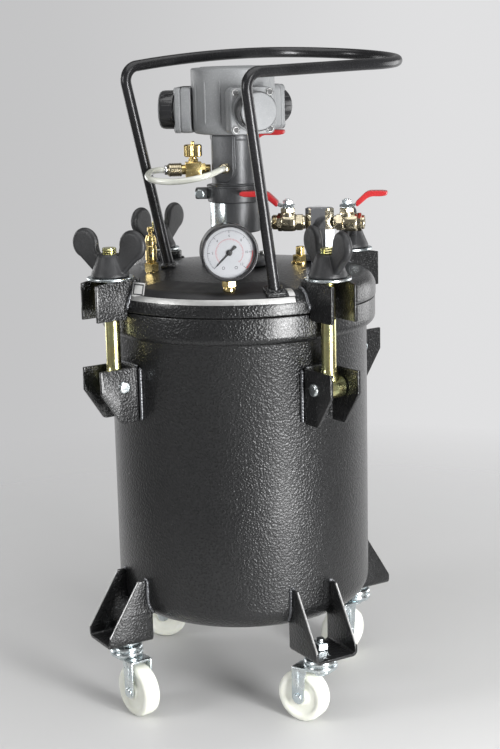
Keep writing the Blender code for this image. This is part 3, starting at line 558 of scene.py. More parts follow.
def add_thread(target, radius, low, high, pitch, place, depth):
    """A screw thread: a turned rod whose surface follows one helix."""
    segments = 28
    rings = int((high - low) / (pitch / 5.0)) + 1
    points = []
    for ring in range(rings):
        height = low + (high - low) * ring / (rings - 1)
        fade = min(1.0, (high - height) / 1.6 + 0.1)
        for step in range(segments):
            phase = (height / pitch - step / segments) % 1.0
            ridge = 1.0 - abs(2.0 * phase - 1.0)
            far = radius - depth * (1.0 - min(1.0, ridge * 1.35) * fade)
            points.append(around(360.0 * step / segments, far, height))
    faces = band_faces(rings, segments) + end_faces(rings, segments)
    merge(target, mesh_from(points, faces), place)


def add_sheet(target, path, span, thick, place=STILL, upright=True):
    """Bent sheet metal. The path is its mid-line in plan (upright) or in cross-section.

    span(first, second) gives the sheet's two limits along the third direction:
    heights for an upright sheet, distances along X for a cross-section in Y, Z.
    """
    line = [Vector((*point, 0.0)).to_2d() for point in path]
    points = []
    for index, spot in enumerate(line):
        before = line[max(index - 1, 0)]
        after = line[min(index + 1, len(line) - 1)]
        run = (after - before).normalized()
        out = Vector((run.y, -run.x))
        for side in (1.0, -1.0):
            first, second = spot + out * side * thick / 2
            for limit in span(first, second):
                points.append((first, second, limit) if upright else (limit, first, second))
    faces = []
    for index in range(len(line) - 1):
        a, b = index * 4, index * 4 + 4
        faces += [[a, a + 1, b + 1, b], [a + 2, a + 3, b + 3, b + 2]]
        faces += [[a, a + 2, b + 2, b], [a + 1, a + 3, b + 3, b + 1]]
    end = (len(line) - 1) * 4
    faces += [[0, 1, 3, 2], [end, end + 1, end + 3, end + 2]]
    work = mesh_from(points, faces)
    round_edges(work, 0.45)
    merge(target, work, place)


def spread(start, end, step=3.0):
    """Points along a straight line, close enough together to follow a curve."""
    first, last = Vector(start), Vector(end)
    count = max(1, int((last - first).length / step))
    return [tuple(first.lerp(last, index / count)) for index in range(count)]


def piece(name, work, look, body, *nodes, slot=None, smooth=38.0):
    """Makes an object from a mesh in millimetres and rides it on a CAD body."""
    work.transform(Matrix.Translation(AXIS) @ Matrix.Scale(MM, 4))
    mesh = take_mesh(work, name)
    mesh.materials.append(LOOKS[look])
    mesh.shade_smooth()
    mesh.set_sharp_from_angle(angle=math.radians(smooth))
    made = link_object(name, mesh)
    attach(made, body)
    if nodes:
        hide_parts(*nodes)


def cast_together(work, bore, voxel, rounds):
    """Fuses overlapping solids as one casting with soft inner corners, then drills its bore."""
    item = link_object("casting", take_mesh(work, "casting"))
    fused = item.modifiers.new("fuse", "REMESH")
    fused.mode = "VOXEL"
    fused.voxel_size = voxel
    eased = item.modifiers.new("ease", "SMOOTH")
    eased.factor = 0.5
    eased.iterations = rounds
    tool = link_object("bore", take_mesh(bore, "bore"))
    drill = item.modifiers.new("drill", "BOOLEAN")
    drill.operation = "DIFFERENCE"
    drill.solver = "EXACT"
    drill.object = tool
    made = bake_object(item)
    bpy.data.objects.remove(tool)
    return made


def bake_object(item):
    """An object's final mesh as a bmesh; the object is removed."""
    bpy.context.view_layer.update()
    mesh = bpy.data.meshes.new_from_object(item.evaluated_get(bpy.context.evaluated_depsgraph_get()))
    bpy.data.objects.remove(item)
    made = bmesh.new()
    made.from_mesh(mesh)
    bpy.data.meshes.remove(mesh)
    return made


# ------------------------------------------------------------ tank and lid


def dome_z(radius):
    """Height of the lid's dome inside its shoulder."""
    return LID_TOP_Z - DOME_DROP * (radius / SHOULDER_R) ** 2


def lid_surface(radius):
    """Height of the lid's outer face, down its shoulder to the skirt."""
    if radius <= SHOULDER_R:
        return dome_z(radius)
    share = min(1, (radius - SHOULDER_R) / (LID_R - SHOULDER_R))
    rise = dome_z(SHOULDER_R) - SHOULDER_LOW_Z
    return SHOULDER_LOW_Z + rise * math.sqrt(max(0, 1 - share**2))


def tank_radius(height):
    """Radius of the tank's wall, and of the knuckle that rounds it into the bottom."""
    drop = max(0.0, TANK_BOTTOM_Z + KNUCKLE_R - height)
    return TANK_R - KNUCKLE_R + math.sqrt(KNUCKLE_R**2 - drop**2)


def make_tank():
    """Tank shell with knuckled bottom and rolled flange, and its welded seam."""
    inner_r = TANK_R - TANK_WALL
    center = (TANK_R - KNUCKLE_R, TANK_BOTTOM_Z + KNUCKLE_R)
    profile = [(0, TANK_BOTTOM_Z - 2), (60, TANK_BOTTOM_Z - 1.5)]
    profile += arc(center, KNUCKLE_R, -90, 0, 14)
    profile += [(TANK_R, 250), (TANK_R, 432.5), (TANK_R + 0.8, 434.3), (TANK_R + 3, 434.4)]
    profile += arc((FLANGE_R - 9, 443), 9, -72, 0, 8)
    flange = [(FLANGE_R, 446), (FLANGE_R, FLANGE_TOP_Z), (inner_r, FLANGE_TOP_Z), (inner_r, 440)]
    profile += soften(flange, 1.6)
    profile += arc(center, KNUCKLE_R - TANK_WALL, 0, -90, 12)
    profile.append((0, TANK_BOTTOM_Z + 0.5))
    work = bmesh.new()
    add_lathe(work, profile, segments=160)
    piece("tank_shell", work, "paint", "pot", "tank")
    seam = bmesh.new()
    wall = TANK_R - 0.9
    add_weld(seam, [around(88, wall, height) for height in range(136, 434, 6)], 1.7, seed=3)
    piece("tank_seam", seam, "paint", "pot", smooth=60)


def make_lid():
    """Domed lid and the rubber ring under it."""
    skirt_in = LID_R - 3.5
    profile = [(8.5, dome_z(8.5))]
    profile += [(radius, dome_z(radius)) for radius in (20, 45, 70, 95, 115, 130)]
    for step in range(13):
        angle = math.radians(90 * (12 - step) / 12)
        across = math.cos(angle) * (LID_R - SHOULDER_R)
        up = math.sin(angle) * (dome_z(SHOULDER_R) - SHOULDER_LOW_Z)
        profile.append((SHOULDER_R + across, SHOULDER_LOW_Z + up))
    profile += soften([(LID_R, 472), (LID_R, LID_LOW_Z), (skirt_in, LID_LOW_Z), (skirt_in, 468.9)], 1.6)
    profile += [(138, 468.9), (134, 482), (105, dome_z(105) - 3.5), (8.5, dome_z(8.5) - 3.5)]
    work = bmesh.new()
    add_lathe(work, profile, segments=160)
    piece("lid_dome", work, "paint", "pot", "lid")
    ring = bmesh.new()
    section = [(143, 464.5), (151.4, 464.5), (151.4, 468.6), (147.2, 467.6), (143, 468.6)]
    add_ring(ring, section, 1, segments=128)
    piece("lid_seal", ring, "rubber", "pot", "lid_gasket")


def lid_strip(target, inner, outer, start, end, lift, thick):
    """A thin curved strip that lies on the lid between two radii and two bearings."""
    across = max(2, int((outer - inner) / 2.5))
    along = max(2, int(abs(end - start) / 2))
    points = []
    for side in (lift, lift + thick):
        for i in range(along + 1):
            bearing = start + (end - start) * i / along
            for j in range(across + 1):
                radius = inner + (outer - inner) * j / across
                slope = lid_surface(radius - 0.5) - lid_surface(radius + 0.5)
                tip = math.hypot(1, slope)
                points.append(around(bearing, radius + side * slope / tip, lid_surface(radius) + side / tip))
    width = across + 1
    layer = (along + 1) * width
    faces = []
    for i in range(along):
        for j in range(across):
            a = i * width + j
            quad = [a, a + 1, a + width + 1, a + width]
            faces += [quad, [layer + k for k in quad]]
    for i in range(along):
        for j in (0, across):
            a, b = i * width + j, (i + 1) * width + j
            faces.append([a, b, layer + b, layer + a])
    for i in (0, along):
        for j in range(across):
            a = i * width + j
            faces.append([a, a + 1, layer + a + 1, layer + a])
    merge(target, mesh_from(points, faces))


def make_label():
    """Blank black label over the lid's front, with a silver edge and silver ends, one a bordered tab."""
    field = bmesh.new()
    lid_strip(field, 106, 152.2, -126.5, -56, 0.05, 0.25)
    piece("lid_label", field, "label", "pot")
    edge = bmesh.new()
    lid_strip(edge, 152.4, 154.9, -127.5, -57, 0.05, 0.3)
    tab_at = spun(-118, around(-123.9, 152.6, 482.6)) @ at(turn=(0, -14, 0))
    tab = plate(-8.6, 0, 8.6, 15.5, 1.2, 3)
    add_prism(edge, tab, 0, 0.5, tab_at, "X", 0.12, 1)
    lid_strip(edge, 139, 151.8, -59.2, -56.6, 0.1, 0.5)
    piece("lid_label_edge", edge, "label_edge", "pot")
    lines = bmesh.new()
    sides = [(-7, 2, -5.6, 13.8), (5.6, 2, 7, 13.8)]
    ends = [(-5.6, 2, 5.6, 3.4), (-5.6, 12.4, 5.6, 13.8)]
    for left, low, right, high in sides + ends:
        bar = [(left, low), (right, low), (right, high), (left, high)]
        add_prism(lines, bar, 0.45, 0.75, tab_at, "X", 0.05, 1)
    piece("lid_label_lines", lines, "ink", "pot")


# ------------------------------------------------------------------ clamps


def channel_path(inner, outer, half, wall, bend):
    """Mid-line of a channel open towards outer, as (depth, across): cheek, back, cheek."""
    middle = half - wall / 2
    back = inner + wall / 2
    tight = bend - wall / 2
    path = spread((outer, -middle), (back + tight, -middle), 2.5)
    path += arc((back + tight, tight - middle), tight, -90, -180, 5)
    path += arc((back + tight, middle - tight), tight, 180, 90, 5)
    path += [(x, middle) for x, _ in reversed(spread((outer, middle), (back + tight, middle), 2.5))]
    return path


def make_lug(side, angle):
    """Channel welded to the lid, whose top follows the washer's path, and its weld beads."""
    crown = LID_TOP_Z - PIN_Z

    def span(first, second):
        past = max(0, first - BOLT_CIRCLE_R)
        top = PIN_Z + math.sqrt(crown**2 - past**2)
        radius = math.hypot(first, second)
        low = 457.5 if radius > LID_R + 0.6 else min(lid_surface(radius) - 0.8, top - 1)
        return low, top

    work = bmesh.new()
    add_sheet(work, channel_path(134, 192.6, 17.3, 3.5, 10), span, 3.5, spun(angle))
    piece("lug_" + side, work, "paint", "pot", "lid_lug_" + side)
    bead = bmesh.new()
    for cheek in (-1, 1):
        path = []
        for radius in (138, 142, 146, 150, 153, 155, 156):
            path.append((radius, cheek * 18.3, lid_surface(math.hypot(radius, 18.3)) + 0.6))
        path += [(156.2, cheek * 18.2, 474), (156.4, cheek * 18.2, 468.5)]
        add_weld(bead, path, 2.1, spun(angle), angle + cheek)
    piece("lug_weld_" + side, bead, "weld", "pot", smooth=60)


def make_bracket(side, angle):
    """Channel welded to the tank with the riveted pin that the bolt swings on."""
    def span(first, second):
        return 345 + max(0, first - 169.6) * 1.5, 405

    place = spun(angle)
    work = bmesh.new()
    add_sheet(work, channel_path(145.4, 193, 20, 3.4, 4.5), span, 3.4, place)
    piece("bracket_" + side, work, "paint", "pot", "hinge_bracket_" + side)
    rivet = bmesh.new()
    pin = [(5.4, -23), (7, -21.6), (7, -19.5), (6, -19.5)]
    add_rivet(rivet, pin, 0.8, place @ at((BOLT_CIRCLE_R, 0, PIN_Z)) @ ALONG_Y)
    piece("bracket_pin_" + side, rivet, "zinc", "pot")
    bead = bmesh.new()
    for cheek in (-1, 1):
        upright = [(145.2, cheek * 20.9, height) for height in (346, 360, 375, 390, 404)]
        add_weld(bead, upright, 2, place, angle + cheek)
    add_weld(bead, [(146, across, 405.4) for across in (-16, -6, 6, 16)], 1.7, place, angle)
    piece("bracket_weld_" + side, bead, "weld", "pot", smooth=60)


def wing_casting():
    """One wing nut in millimetres about its bolt, seated at the lug's top."""
    work = bmesh.new()
    hub = [(20.8, 3.1), (20.6, 6.2), (18.4, 11), (15, 19), (13.2, 24), (11.6, 27.5)]
    add_turned(work, hub, 2, segments=56)
    lobe = (31, 37.5)
    outline = [(-2, 5), (16, 4)] + arc(lobe, 14.8, -52, 176, 14) + [(13.6, 27.5), (4, 26), (-2, 24)]
    for mirror in (1, -1):
        side = [(x * mirror, z) for x, z in outline]
        add_prism(work, side, -4.5, 4.5, along="Y", edge=2.6, steps=4)
        rim = [(x * mirror, 0, z) for x, z in arc(lobe, 12.4, -70, 196, 18)]
        add_tube(work, rim, 4.3, segments=12)
    bore = bmesh.new()
    add_lathe(bore, [(0, -2), (8.7, -2), (8.7, 60), (0, 60)], segments=40)
    return cast_together(work, bore, 0.85, 5)


def make_wing_nut(side, angle, casting):
    """A copy of the wing casting with its washer."""
    place = spun(WING_ANGLES[side], around(angle, BOLT_CIRCLE_R, LID_TOP_Z))
    body = "clamp_nut_" + side
    work = bmesh.new()
    merge(work, casting.copy(), place)
    piece("wings_" + side, work, "black_cast", body, "wing_nut_" + side, smooth=70)
    washer = bmesh.new()
    add_ring(washer, [(8.9, 0.3), (25, 0.3), (25, 3), (8.9, 3)], 0.8, place, 64)
    piece("washer_" + side, washer, "zinc", body)


def make_bolt(side, angle):
    """Eye bolt: eye round the pin, forged shank and thread."""
    place = spun(angle, around(angle, BOLT_CIRCLE_R, PIN_Z))
    work = bmesh.new()
    add_ring(work, [(6.6, -14.9), (11.9, -14.9), (11.9, 14.9), (6.6, 14.9)], 1.2, place @ ALONG_Y, 48)
    shank = [(0, 9.6), (11, 8), (9.8, 14), (8.1, 20), (7.9, 26), (7.9, 74), (7.2, 75)]
    add_turned(work, shank, 1.5, place, 32)
    add_thread(work, 7.95, 74, 149, 2.5, place, 1.1)
    piece("bolt_" + side, work, "yellow_zinc", "clamp_bolt_" + side, "swing_bolt_" + side)


# --------------------------------------------------------- feet and casters


def make_foot(side, angle):
    """Folded foot bracket, its weld beads and a painted highlight of pale metal along its slanted edges."""
    place = spun(angle)
    half, low, top, thick, bend = 26.8, 88.5, 161, 3.2, 6
    middle = half - thick / 2
    path = [(point[1], point[0]) for point in channel_path(low, top, half, thick, bend)]

    def span(across, height):
        far = min(190.5, 152.6 + (top - height) * 0.626)
        near = math.sqrt(tank_radius(height)**2 - across**2) - 0.3 if height > 121 else 137
        return near, far

    work = bmesh.new()
    add_sheet(work, path, span, thick, place, upright=False)
    piece("foot_" + side, work, "paint", "pot", "foot_bracket_" + side)
    bead = bmesh.new()
    edge = bmesh.new()
    for cheek in (-1, 1):
        line = []
        for height in (122, 128, 134, 140, 148, 156, 161.5):
            across = cheek * (half + 0.9)
            line.append((math.sqrt((tank_radius(height) + 0.7)**2 - across**2), across, height))
        add_weld(bead, line, 2, place, angle + cheek)
        cap = [(line[-1][0], cheek * (half - offset), 161.6) for offset in (0, 2, 4.5)]
        add_weld(bead, cap, 2.6, place, angle)
        # Thin pale rods along each slanted edge: painted highlight.
        slant = [(152.9, cheek * middle, 160.6), (189.9, cheek * middle, 101.5)]
        add_tube(edge, slant, 0.9, place @ at((0.15, 0, 0.1)), 8)
    piece("foot_weld_" + side, bead, "weld", "pot", smooth=60)
    piece("foot_edge_highlight_" + side, edge, "cut_zinc", "pot")


def make_caster(side, angle):
    """Stem with nut, swivel fork with raceway and axle, and the wheel."""
    trail = TRAIL_ANGLES[side]
    center = around(angle, CASTER_R)
    fixed = at(center)
    swivel = spun(trail, center)
    stem = bmesh.new()
    profile = [(7.4, 61.8), (8, 62.6), (8, 66.2), (5, 66.3), (5, 83.3), (15, 83.3)]
    profile += [(15, 87), (12, 88.1), (5, 88.2), (5, 92)]
    add_turned(stem, profile, 0.5, fixed, 40)
    add_hex(stem, 17, 92.1, 100.4, fixed)
    add_thread(stem, 4.95, 100, 103.9, 1.25, fixed, 0.6)
    piece("stem_" + side, stem, "zinc", "pot", "caster_stem_" + side)

    body = "caster_" + side
    fork = bmesh.new()
    race = [(5.8, 69.2), (15.6, 69.2), (18.6, 70.6), (19, 73.2), (18.2, 75.2), (16.9, 75.9), (16.9, 76.7)]
    race += [(18.3, 77.3), (18.7, 79), (17.4, 81.6), (14.6, 82.9), (9, 83), (5.8, 82.6)]
    add_ring(fork, race, 0.6, swivel, 64)
    plate = soften([(-15, -8.5), (-8.5, -14), (29.5, -14), (29.5, 14), (-8.5, 14), (-15, 8.5)], 3, 4, True)
    add_prism(fork, plate, 67, 69.8, swivel, edge=0.7)
    leg = [(29.5, 68.6), (11.5, 68.6), (13.4, 48)] + arc((22, AXLE_Z), 7.5, 190, 355, 12) + [(29.5, 44)]
    for cheek in (-1, 1):
        add_prism(fork, leg, *sorted((cheek * 11.5, cheek * 13.9)), swivel, "Y", 0.7)
        rib = [(21.5, cheek * 13.7, 64), (21.7, cheek * 14, 54), (22, cheek * 13.7, 43)]
        add_tube(fork, rib, [1.2, 2.2, 1.2], swivel, 14)
        bend = [(12.5, cheek * 12.8, 68.2), (29, cheek * 12.8, 68.2)]
        add_tube(fork, bend, 1.35, swivel, 14)
    wheel_place = swivel @ at((22, 0, AXLE_Z)) @ ALONG_Y
    add_rivet(fork, [(4.2, -16.5), (5.5, -15.4), (5.5, -13.8), (4, -13.8)], 0.6, wheel_place)
    piece("fork_" + side, fork, "zinc", body, "caster_fork_" + side)

    wheel = bmesh.new()
    half = [(4.7, 10.8), (8.6, 10.8), (9.6, 8.2), (13, 7.4), (19.5, 8.2), (22.4, 9.9), (25.6, 9.9)]
    half += [(28.6, 8.3), (29.5, 5.2)]
    profile = half + [(29.5, 0)] + [(radius, -across) for radius, across in reversed(half)]
    add_ring(wheel, profile, 1.1, wheel_place, 72)
    piece("roller_" + side, wheel, "nylon", "wheel_" + side, "caster_wheel_" + side)


def make_clamps_and_feet():
    casting = wing_casting()
    for side, angle in CLAMP_ANGLES.items():
        make_lug(side, angle)
        make_bracket(side, angle)
        make_bolt(side, angle)
        make_wing_nut(side, angle, casting)
        make_foot(side, angle + FOOT_TURN)
        make_caster(side, angle + FOOT_TURN)
    casting.free()


# --------------------------------------------------- motor, stand, stirrer


def add_socket_screw(target, dark, place, head=4.2, high=4):
    """A socket head cap screw standing along +Z of its place, with a black hexagon in its socket as painted
    shade.
    """
    profile = [(head, -1), (head, high), (head * 0.66, high), (head * 0.62, high - 2), (0, high - 2)]
    add_turned(target, profile, 0.5, place, 28)
    # Black hexagon in the socket: painted shade for the hex hole.
    add_hex(dark, head * 1.15, high - 2.3, high - 0.9, place, chamfer=False)


def make_stand():
    """Column on the lid with its flange screws and a bright curved plate."""
    work = bmesh.new()
    foot = [(9.5, 500.3), (40, 500.3), (40, 507), (22, 508.4), (17, 511), (17, 535), (28, 537.4)]
    foot += [(28, 570.7), (26.6, 570.7), (26.6, 579.9), (9.5, 579.9)]
    add_ring(work, foot, 1.4, STILL, 72)
    piece("stand_column", work, "dark_grey", "pot", "motor_stand", slot="hammered_paint")
    bolts = bmesh.new()
    dark = bmesh.new()
    for bearing in (35, 125, 215, 305):
        add_socket_screw(bolts, dark, at(around(bearing, 32, 507.6)), 4, 4)
    piece("stand_screws", bolts, "steel", "pot")
    # Black socket hexagons: painted shade.
    piece("stand_socket_shade", dark, "black_cast", "pot")
    shield = bmesh.new()
    outline = []
    for step in range(17):
        outline.append(tuple(around(-172 + 4.4 * step, 28.5))[:2])
    for step in range(17):
        outline.append(tuple(around(-172 + 4.4 * (16 - step), 27))[:2])
    add_prism(shield, outline, 537.6, 570.4, edge=0.35)
    piece("stand_plate", shield, "zinc", "pot")


def make_ring():
    """Split clamp ring with two ears and a cross screw."""
    work = bmesh.new()
    add_ring(work, [(27, 571), (30.8, 571), (30.8, 589), (27, 589)], 0.9, STILL, 72)
    add_ring(work, [(27, 587), (31.6, 587), (31.6, 589.3), (27, 589.3)], 0.8, STILL, 72)
    place = spun(190)
    for cheek in (-1, 1):
        ear = plate(28.5, 574, 44.5, 586, 2.5)
        add_prism(work, ear, *sorted((cheek * 1.3, cheek * 7)), place, "Y", 0.7)
    piece("ring_band", work, "dark_grey", "pot", "clamp_ring")
    screw = bmesh.new()
    across = place @ at((39.5, 0, 580), (90, 0, 0))
    add_turned(screw, [(2.9, -12.4), (2.9, 12.2)], 0.5, across, 24)
    add_hex(screw, 8.6, 7.1, 11.6, across)
    add_turned(screw, [(5.2, -12.6), (5.2, -7.2)], 1.4, across, 32)
    piece("ring_screw", screw, "zinc", "pot")


def make_neck():
    """The motor's tube with a flat pad, and the socket that takes the hose."""
    low, high = 580.2, 645
    work = bmesh.new()
    profile = [(9.5, low), (NECK_R, low), (NECK_R, 590.2), (25.6, 591.4), (25.6, 638), (NECK_R, 641)]
    add_ring(work, profile + [(NECK_R, high), (9.5, high)], 0.9, STILL, 72)
    pad = [(-13, high)] + arc((0, 606), 13, 180, 360, 20) + [(13, high)]
    turned = spun(-107)
    add_prism(work, pad, 20, 28.9, turned, "X", 1.4, 3)
    for across in (-13, 13):
        add_tube(work, [(24.5, across * 0.98, 608), (24.5, across * 0.98, 643)], 1.5, turned, 12)
    piece("neck_casting", work, "dark_grey", "pot", "motor_neck")
    socket = bmesh.new()
    place = spun(HOSE_PAD_ANGLE) @ at((0, 0, 609), (0, 90, 0))
    add_hex(socket, 10.6, 28.6, 32.6, place)
    add_turned(socket, [(4.4, 27), (4.4, 34.4), (5.3, 34.6), (5.3, 36), (4, 37)], 0.4, place, 32)
    piece("neck_socket", socket, "nickel", "pot")


def make_motor_body():
    """Round crankcase with cast ribs and a ring of cover screws."""
    work = bmesh.new()
    low, high, radius = 645.3, 718, 46
    profile = [(9.5, low), (36, low), (43, low + 1.2), (45.4, low + 5), (radius, low + 9)]
    profile += [(radius, high - 2.6), (44.6, high - 1), (36, high - 0.9), (35, high), (0, high)]
    profile += [(0, 670), (9.5, 670)]
    add_lathe(work, soften(profile, 1.6), STILL, 96)
    for bearing in (-122, -142, 120, 142, 18, -18, -98, 98):
        line = [around(bearing, radius - 0.9, height) for height in (654, 660, 700, 708)]
        add_tube(work, line, [0.5, 1.8, 1.8, 0.5], STILL, 12)
    piece("motor_case", work, "grey", "pot", "motor_body", smooth=45)
    screws = bmesh.new()
    dark = bmesh.new()
    for step in range(6):
        add_socket_screw(screws, dark, at(around(60 * step + 12, 39.6, high - 4.6)), 2.9, 3.2)
    piece("motor_top_screws", screws, "dark_steel", "pot")
    # Black socket hexagons: painted shade.
    piece("motor_top_socket_shade", dark, "black_cast", "pot")


def head_outline(half, corner):
    """Square with rounded corners."""
    outline = []
    for quarter in range(4):
        turn = math.radians(90 * quarter)
        side = [(half, -half + corner)]
        side += arc((half - corner, half - corner), corner, 0, 90, 6)
        for x, y in side[1:]:
            outline.append((x * math.cos(turn) - y * math.sin(turn), x * math.sin(turn) + y * math.cos(turn)))
    return outline


def make_head(side, angle):
    """Square cylinder head with screws, and a ribbed black cap with a grey end cover."""
    place = at((0, 0, HEAD_Z)) @ spun(angle)
    name = "motor_head_" + side
    work = bmesh.new()
    outline = head_outline(24.9, 7)
    add_prism(work, outline, 43, 54, place, "X", 1.2, 3)
    add_prism(work, [(a * 0.955, b * 0.955) for a, b in outline], 53.5, 55, place, "X", 0.1, 1)
    add_prism(work, outline, 54.8, 60.9, place, "X", 1.2, 3)
    facing = place @ ALONG_X
    add_turned(work, [(22.4, 58), (22.4, 62.6)], 0.9, facing, 64)
    screws = bmesh.new()
    dark = bmesh.new()
    for across in (-19.6, 19.6):
        for height in (-19.6, 19.6):
            boss = place @ at((0, across, height)) @ ALONG_X
            add_ring(work, [(4.3, 60.2), (5.2, 60.2), (5.2, 61.5), (4.3, 61.5)], 0.35, boss, 32)
            add_socket_screw(screws, dark, boss @ at((0, 0, 59.6)), 3.9, 2.6)
    piece("head_" + side, work, "grey", "pot", name, smooth=45)
    # Thin black bars along the head's top: painted shade for the recess there.
    for a in (-18, 2):
        recess_shade_outline = plate(a, 24.2, a + 16, 25.05, 0.3, 2)
        add_prism(dark, recess_shade_outline, 45.5, 59, place, "X", 0.1, 1)
    piece("head_screws_" + side, screws, "dark_steel", "pot")
    # Socket hexagons and top bars, all painted shade.
    piece("head_painted_shade_" + side, dark, "black_cast", "pot")
    cup = bmesh.new()
    shell = [(19.4, 62), (19.8, 63.5), (21, 64.4), (21, 78.6), (20.2, 79.6), (16.6, 79.6), (16.4, 79.4)]
    add_turned(cup, shell, 0.8, facing, 64)
    for step in range(24):
        rib = facing @ spun(15 * step)
        add_tube(cup, [(20.7, 0, 66), (20.7, 0, 76.6)], 0.55, rib, 8)
    piece("head_cup_" + side, cup, "cup", "pot")
    cover = bmesh.new()
    add_turned(cover, [(20, 79), (20, 80.4), (19.2, 81)], 0.4, facing, 64)
    piece("head_cover_" + side, cover, "grey", "pot")


def make_stirrer():
    """Shaft and three-bladed impeller inside the tank."""
    work = bmesh.new()
    add_turned(work, [(6, 150), (6, 664)], 0.8, STILL, 36)
    hub = [(12, 154), (12, 174)]
    add_turned(work, hub, 1.5, STILL, 40)
    blade = [(8, -8), (50, -10), (60, -4), (60, 6), (52, 11), (8, 8)]
    blade = soften(blade, 6, 5, True)
    for step in range(3):
        place = spun(120 * step, (0, 0, 164)) @ at(turn=(40, 0, 0))
        add_prism(work, blade, -1.5, 1.5, place, edge=0.5)
    piece("stirrer_shaft", work, "steel", "stirrer", "stirrer")


def make_motor():
    make_stand()
    make_ring()
    make_neck()
    make_motor_body()
    for side, angle in HEAD_ANGLES.items():
        make_head(side, angle)
    make_stirrer()


# ---------------------------------------------------------------- fittings


def add_mark(target, start, end, inner, outer, steps=1):
    """A thin printed bar on the dial between two bearings and two radii."""
    points = []
    for height in PRINT_LEVELS:
        for step in range(steps + 1):
            bearing = start + (end - start) * step / steps
            points += [around(bearing, inner, height), around(bearing, outer, height)]
    layer = 2 * (steps + 1)
    faces = []
    for a in range(0, 2 * steps, 2):
        faces += [[a, a + 1, a + 3, a + 2], [layer + a, layer + a + 1, layer + a + 3, layer + a + 2]]
        faces += [[a, a + 2, layer + a + 2, layer + a], [a + 1, a + 3, layer + a + 3, layer + a + 1]]
    last = 2 * steps
    faces += [[0, 1, layer + 1, layer], [last, last + 1, layer + last + 1, layer + last]]
    merge(target, mesh_from(points, faces))


def add_number(target, text, size, spot):
    """A raised numeral for the dial, flat in X and Y."""
    curve = bpy.data.curves.new("numeral", "FONT")
    curve.body = text
    curve.size = size
    curve.align_x = "CENTER"
    curve.align_y = "CENTER"
    curve.extrude = 0.02
    merge(target, bake_object(link_object("numeral", curve)), at(spot))


def make_gauge():
    """Gauge case, printed dial, glass, pointer and brass stem."""
    place = at(GAUGE, (90, 0, GAUGE_TURN))
    case = bmesh.new()
    profile = [(24, -14), (27.5, -12.6), (29.4, -9), (29.4, 8), (30, 9), (30, 12.6)]
    profile += [(29, 14), (27, 14), (26.5, 12.8), (26.5, 9)]
    add_turned(case, profile, 0.5, place, 96)
    piece("gauge_shell", case, "black", "pot", "gauge_case")
    dial = bmesh.new()
    add_turned(dial, [(26.4, 8.8), (26.4, 9.15)], 0.05, place, 96)
    piece("gauge_dial", dial, "dial", "pot")

    ink = bmesh.new()
    red = bmesh.new()
    zero, sweep = 225, 270
    full = zero - sweep
    add_mark(ink, zero, full, 22.9, 23.15, 90)
    for step in range(61):
        bearing = zero - sweep * step / 60
        numbered = step % 10 == 0
        half = 0.75 if numbered else 0.35
        inner = 20.3 if numbered else (21.3 if step % 5 == 0 else 21.9)
        add_mark(ink, bearing - half, bearing + half, inner, 23.1)
        if numbered:
            add_number(ink, str(step // 5), 3.6, around(bearing, 17.6, 9.18))
    add_mark(red, zero, full, 14.3, 14.5, 90)
    for step in range(43):
        bearing = zero - sweep * step / 42
        add_mark(red, bearing - 0.6, bearing + 0.6, 12.6 if step % 6 == 0 else 13.3, 14.4)
    add_mark(red, full, zero - sweep * 0.82, 23.5, 24.6, 16)
    low, high = PRINT_LEVELS
    for across in (-6.6, 6.6):
        screw = [(1.1, low), (1.6, low), (1.6, high), (1.1, high)]
        add_ring(ink, screw, 0.01, at((across, -15.8, 0)), 24)
    for target, name, look in ((ink, "gauge_scale", "ink"), (red, "gauge_red_scale", "red_ink")):
        target.transform(place)
        piece(name, target, look, "pot")
    glass = bmesh.new()
    add_turned(glass, [(26.7, 12.1), (26.7, 12.7), (14, 12.95), (0, 13.05)], 0.1, place, 64)
    piece("gauge_glass", glass, "glass", "pot")

    pointer = bmesh.new()
    edge = [(-20, 0.25), (-8, 0.75), (3, 0.95), (9, 1.7)]
    outline = [(x, -y) for x, y in edge] + [(9.6, 0)] + edge[::-1]
    add_prism(pointer, outline, 10, 10.5, spun(45), edge=0.12, steps=1)
    add_turned(pointer, [(2.6, 9.4), (3, 9.8), (3, 11), (2.4, 11.5), (0, 11.6)], 0.3, STILL, 32)
    pointer.transform(place)
    piece("gauge_pointer", pointer, "needle", "gauge_needle", "gauge_needle")

    stem = bmesh.new()
    down = spun(5, (GAUGE.x, GAUGE.y, 0))
    add_turned(stem, [(6.8, 500), (6.8, 505)], 0.6, down, 32)
    add_hex(stem, 14, 495.6, 502.4, down)
    add_turned(stem, [(5.6, 488), (5.6, 490.6), (6.6, 491.4), (6.6, 494.2), (5.8, 495.8)], 0.4, down, 32)
    piece("gauge_stem", stem, "brass", "pot")


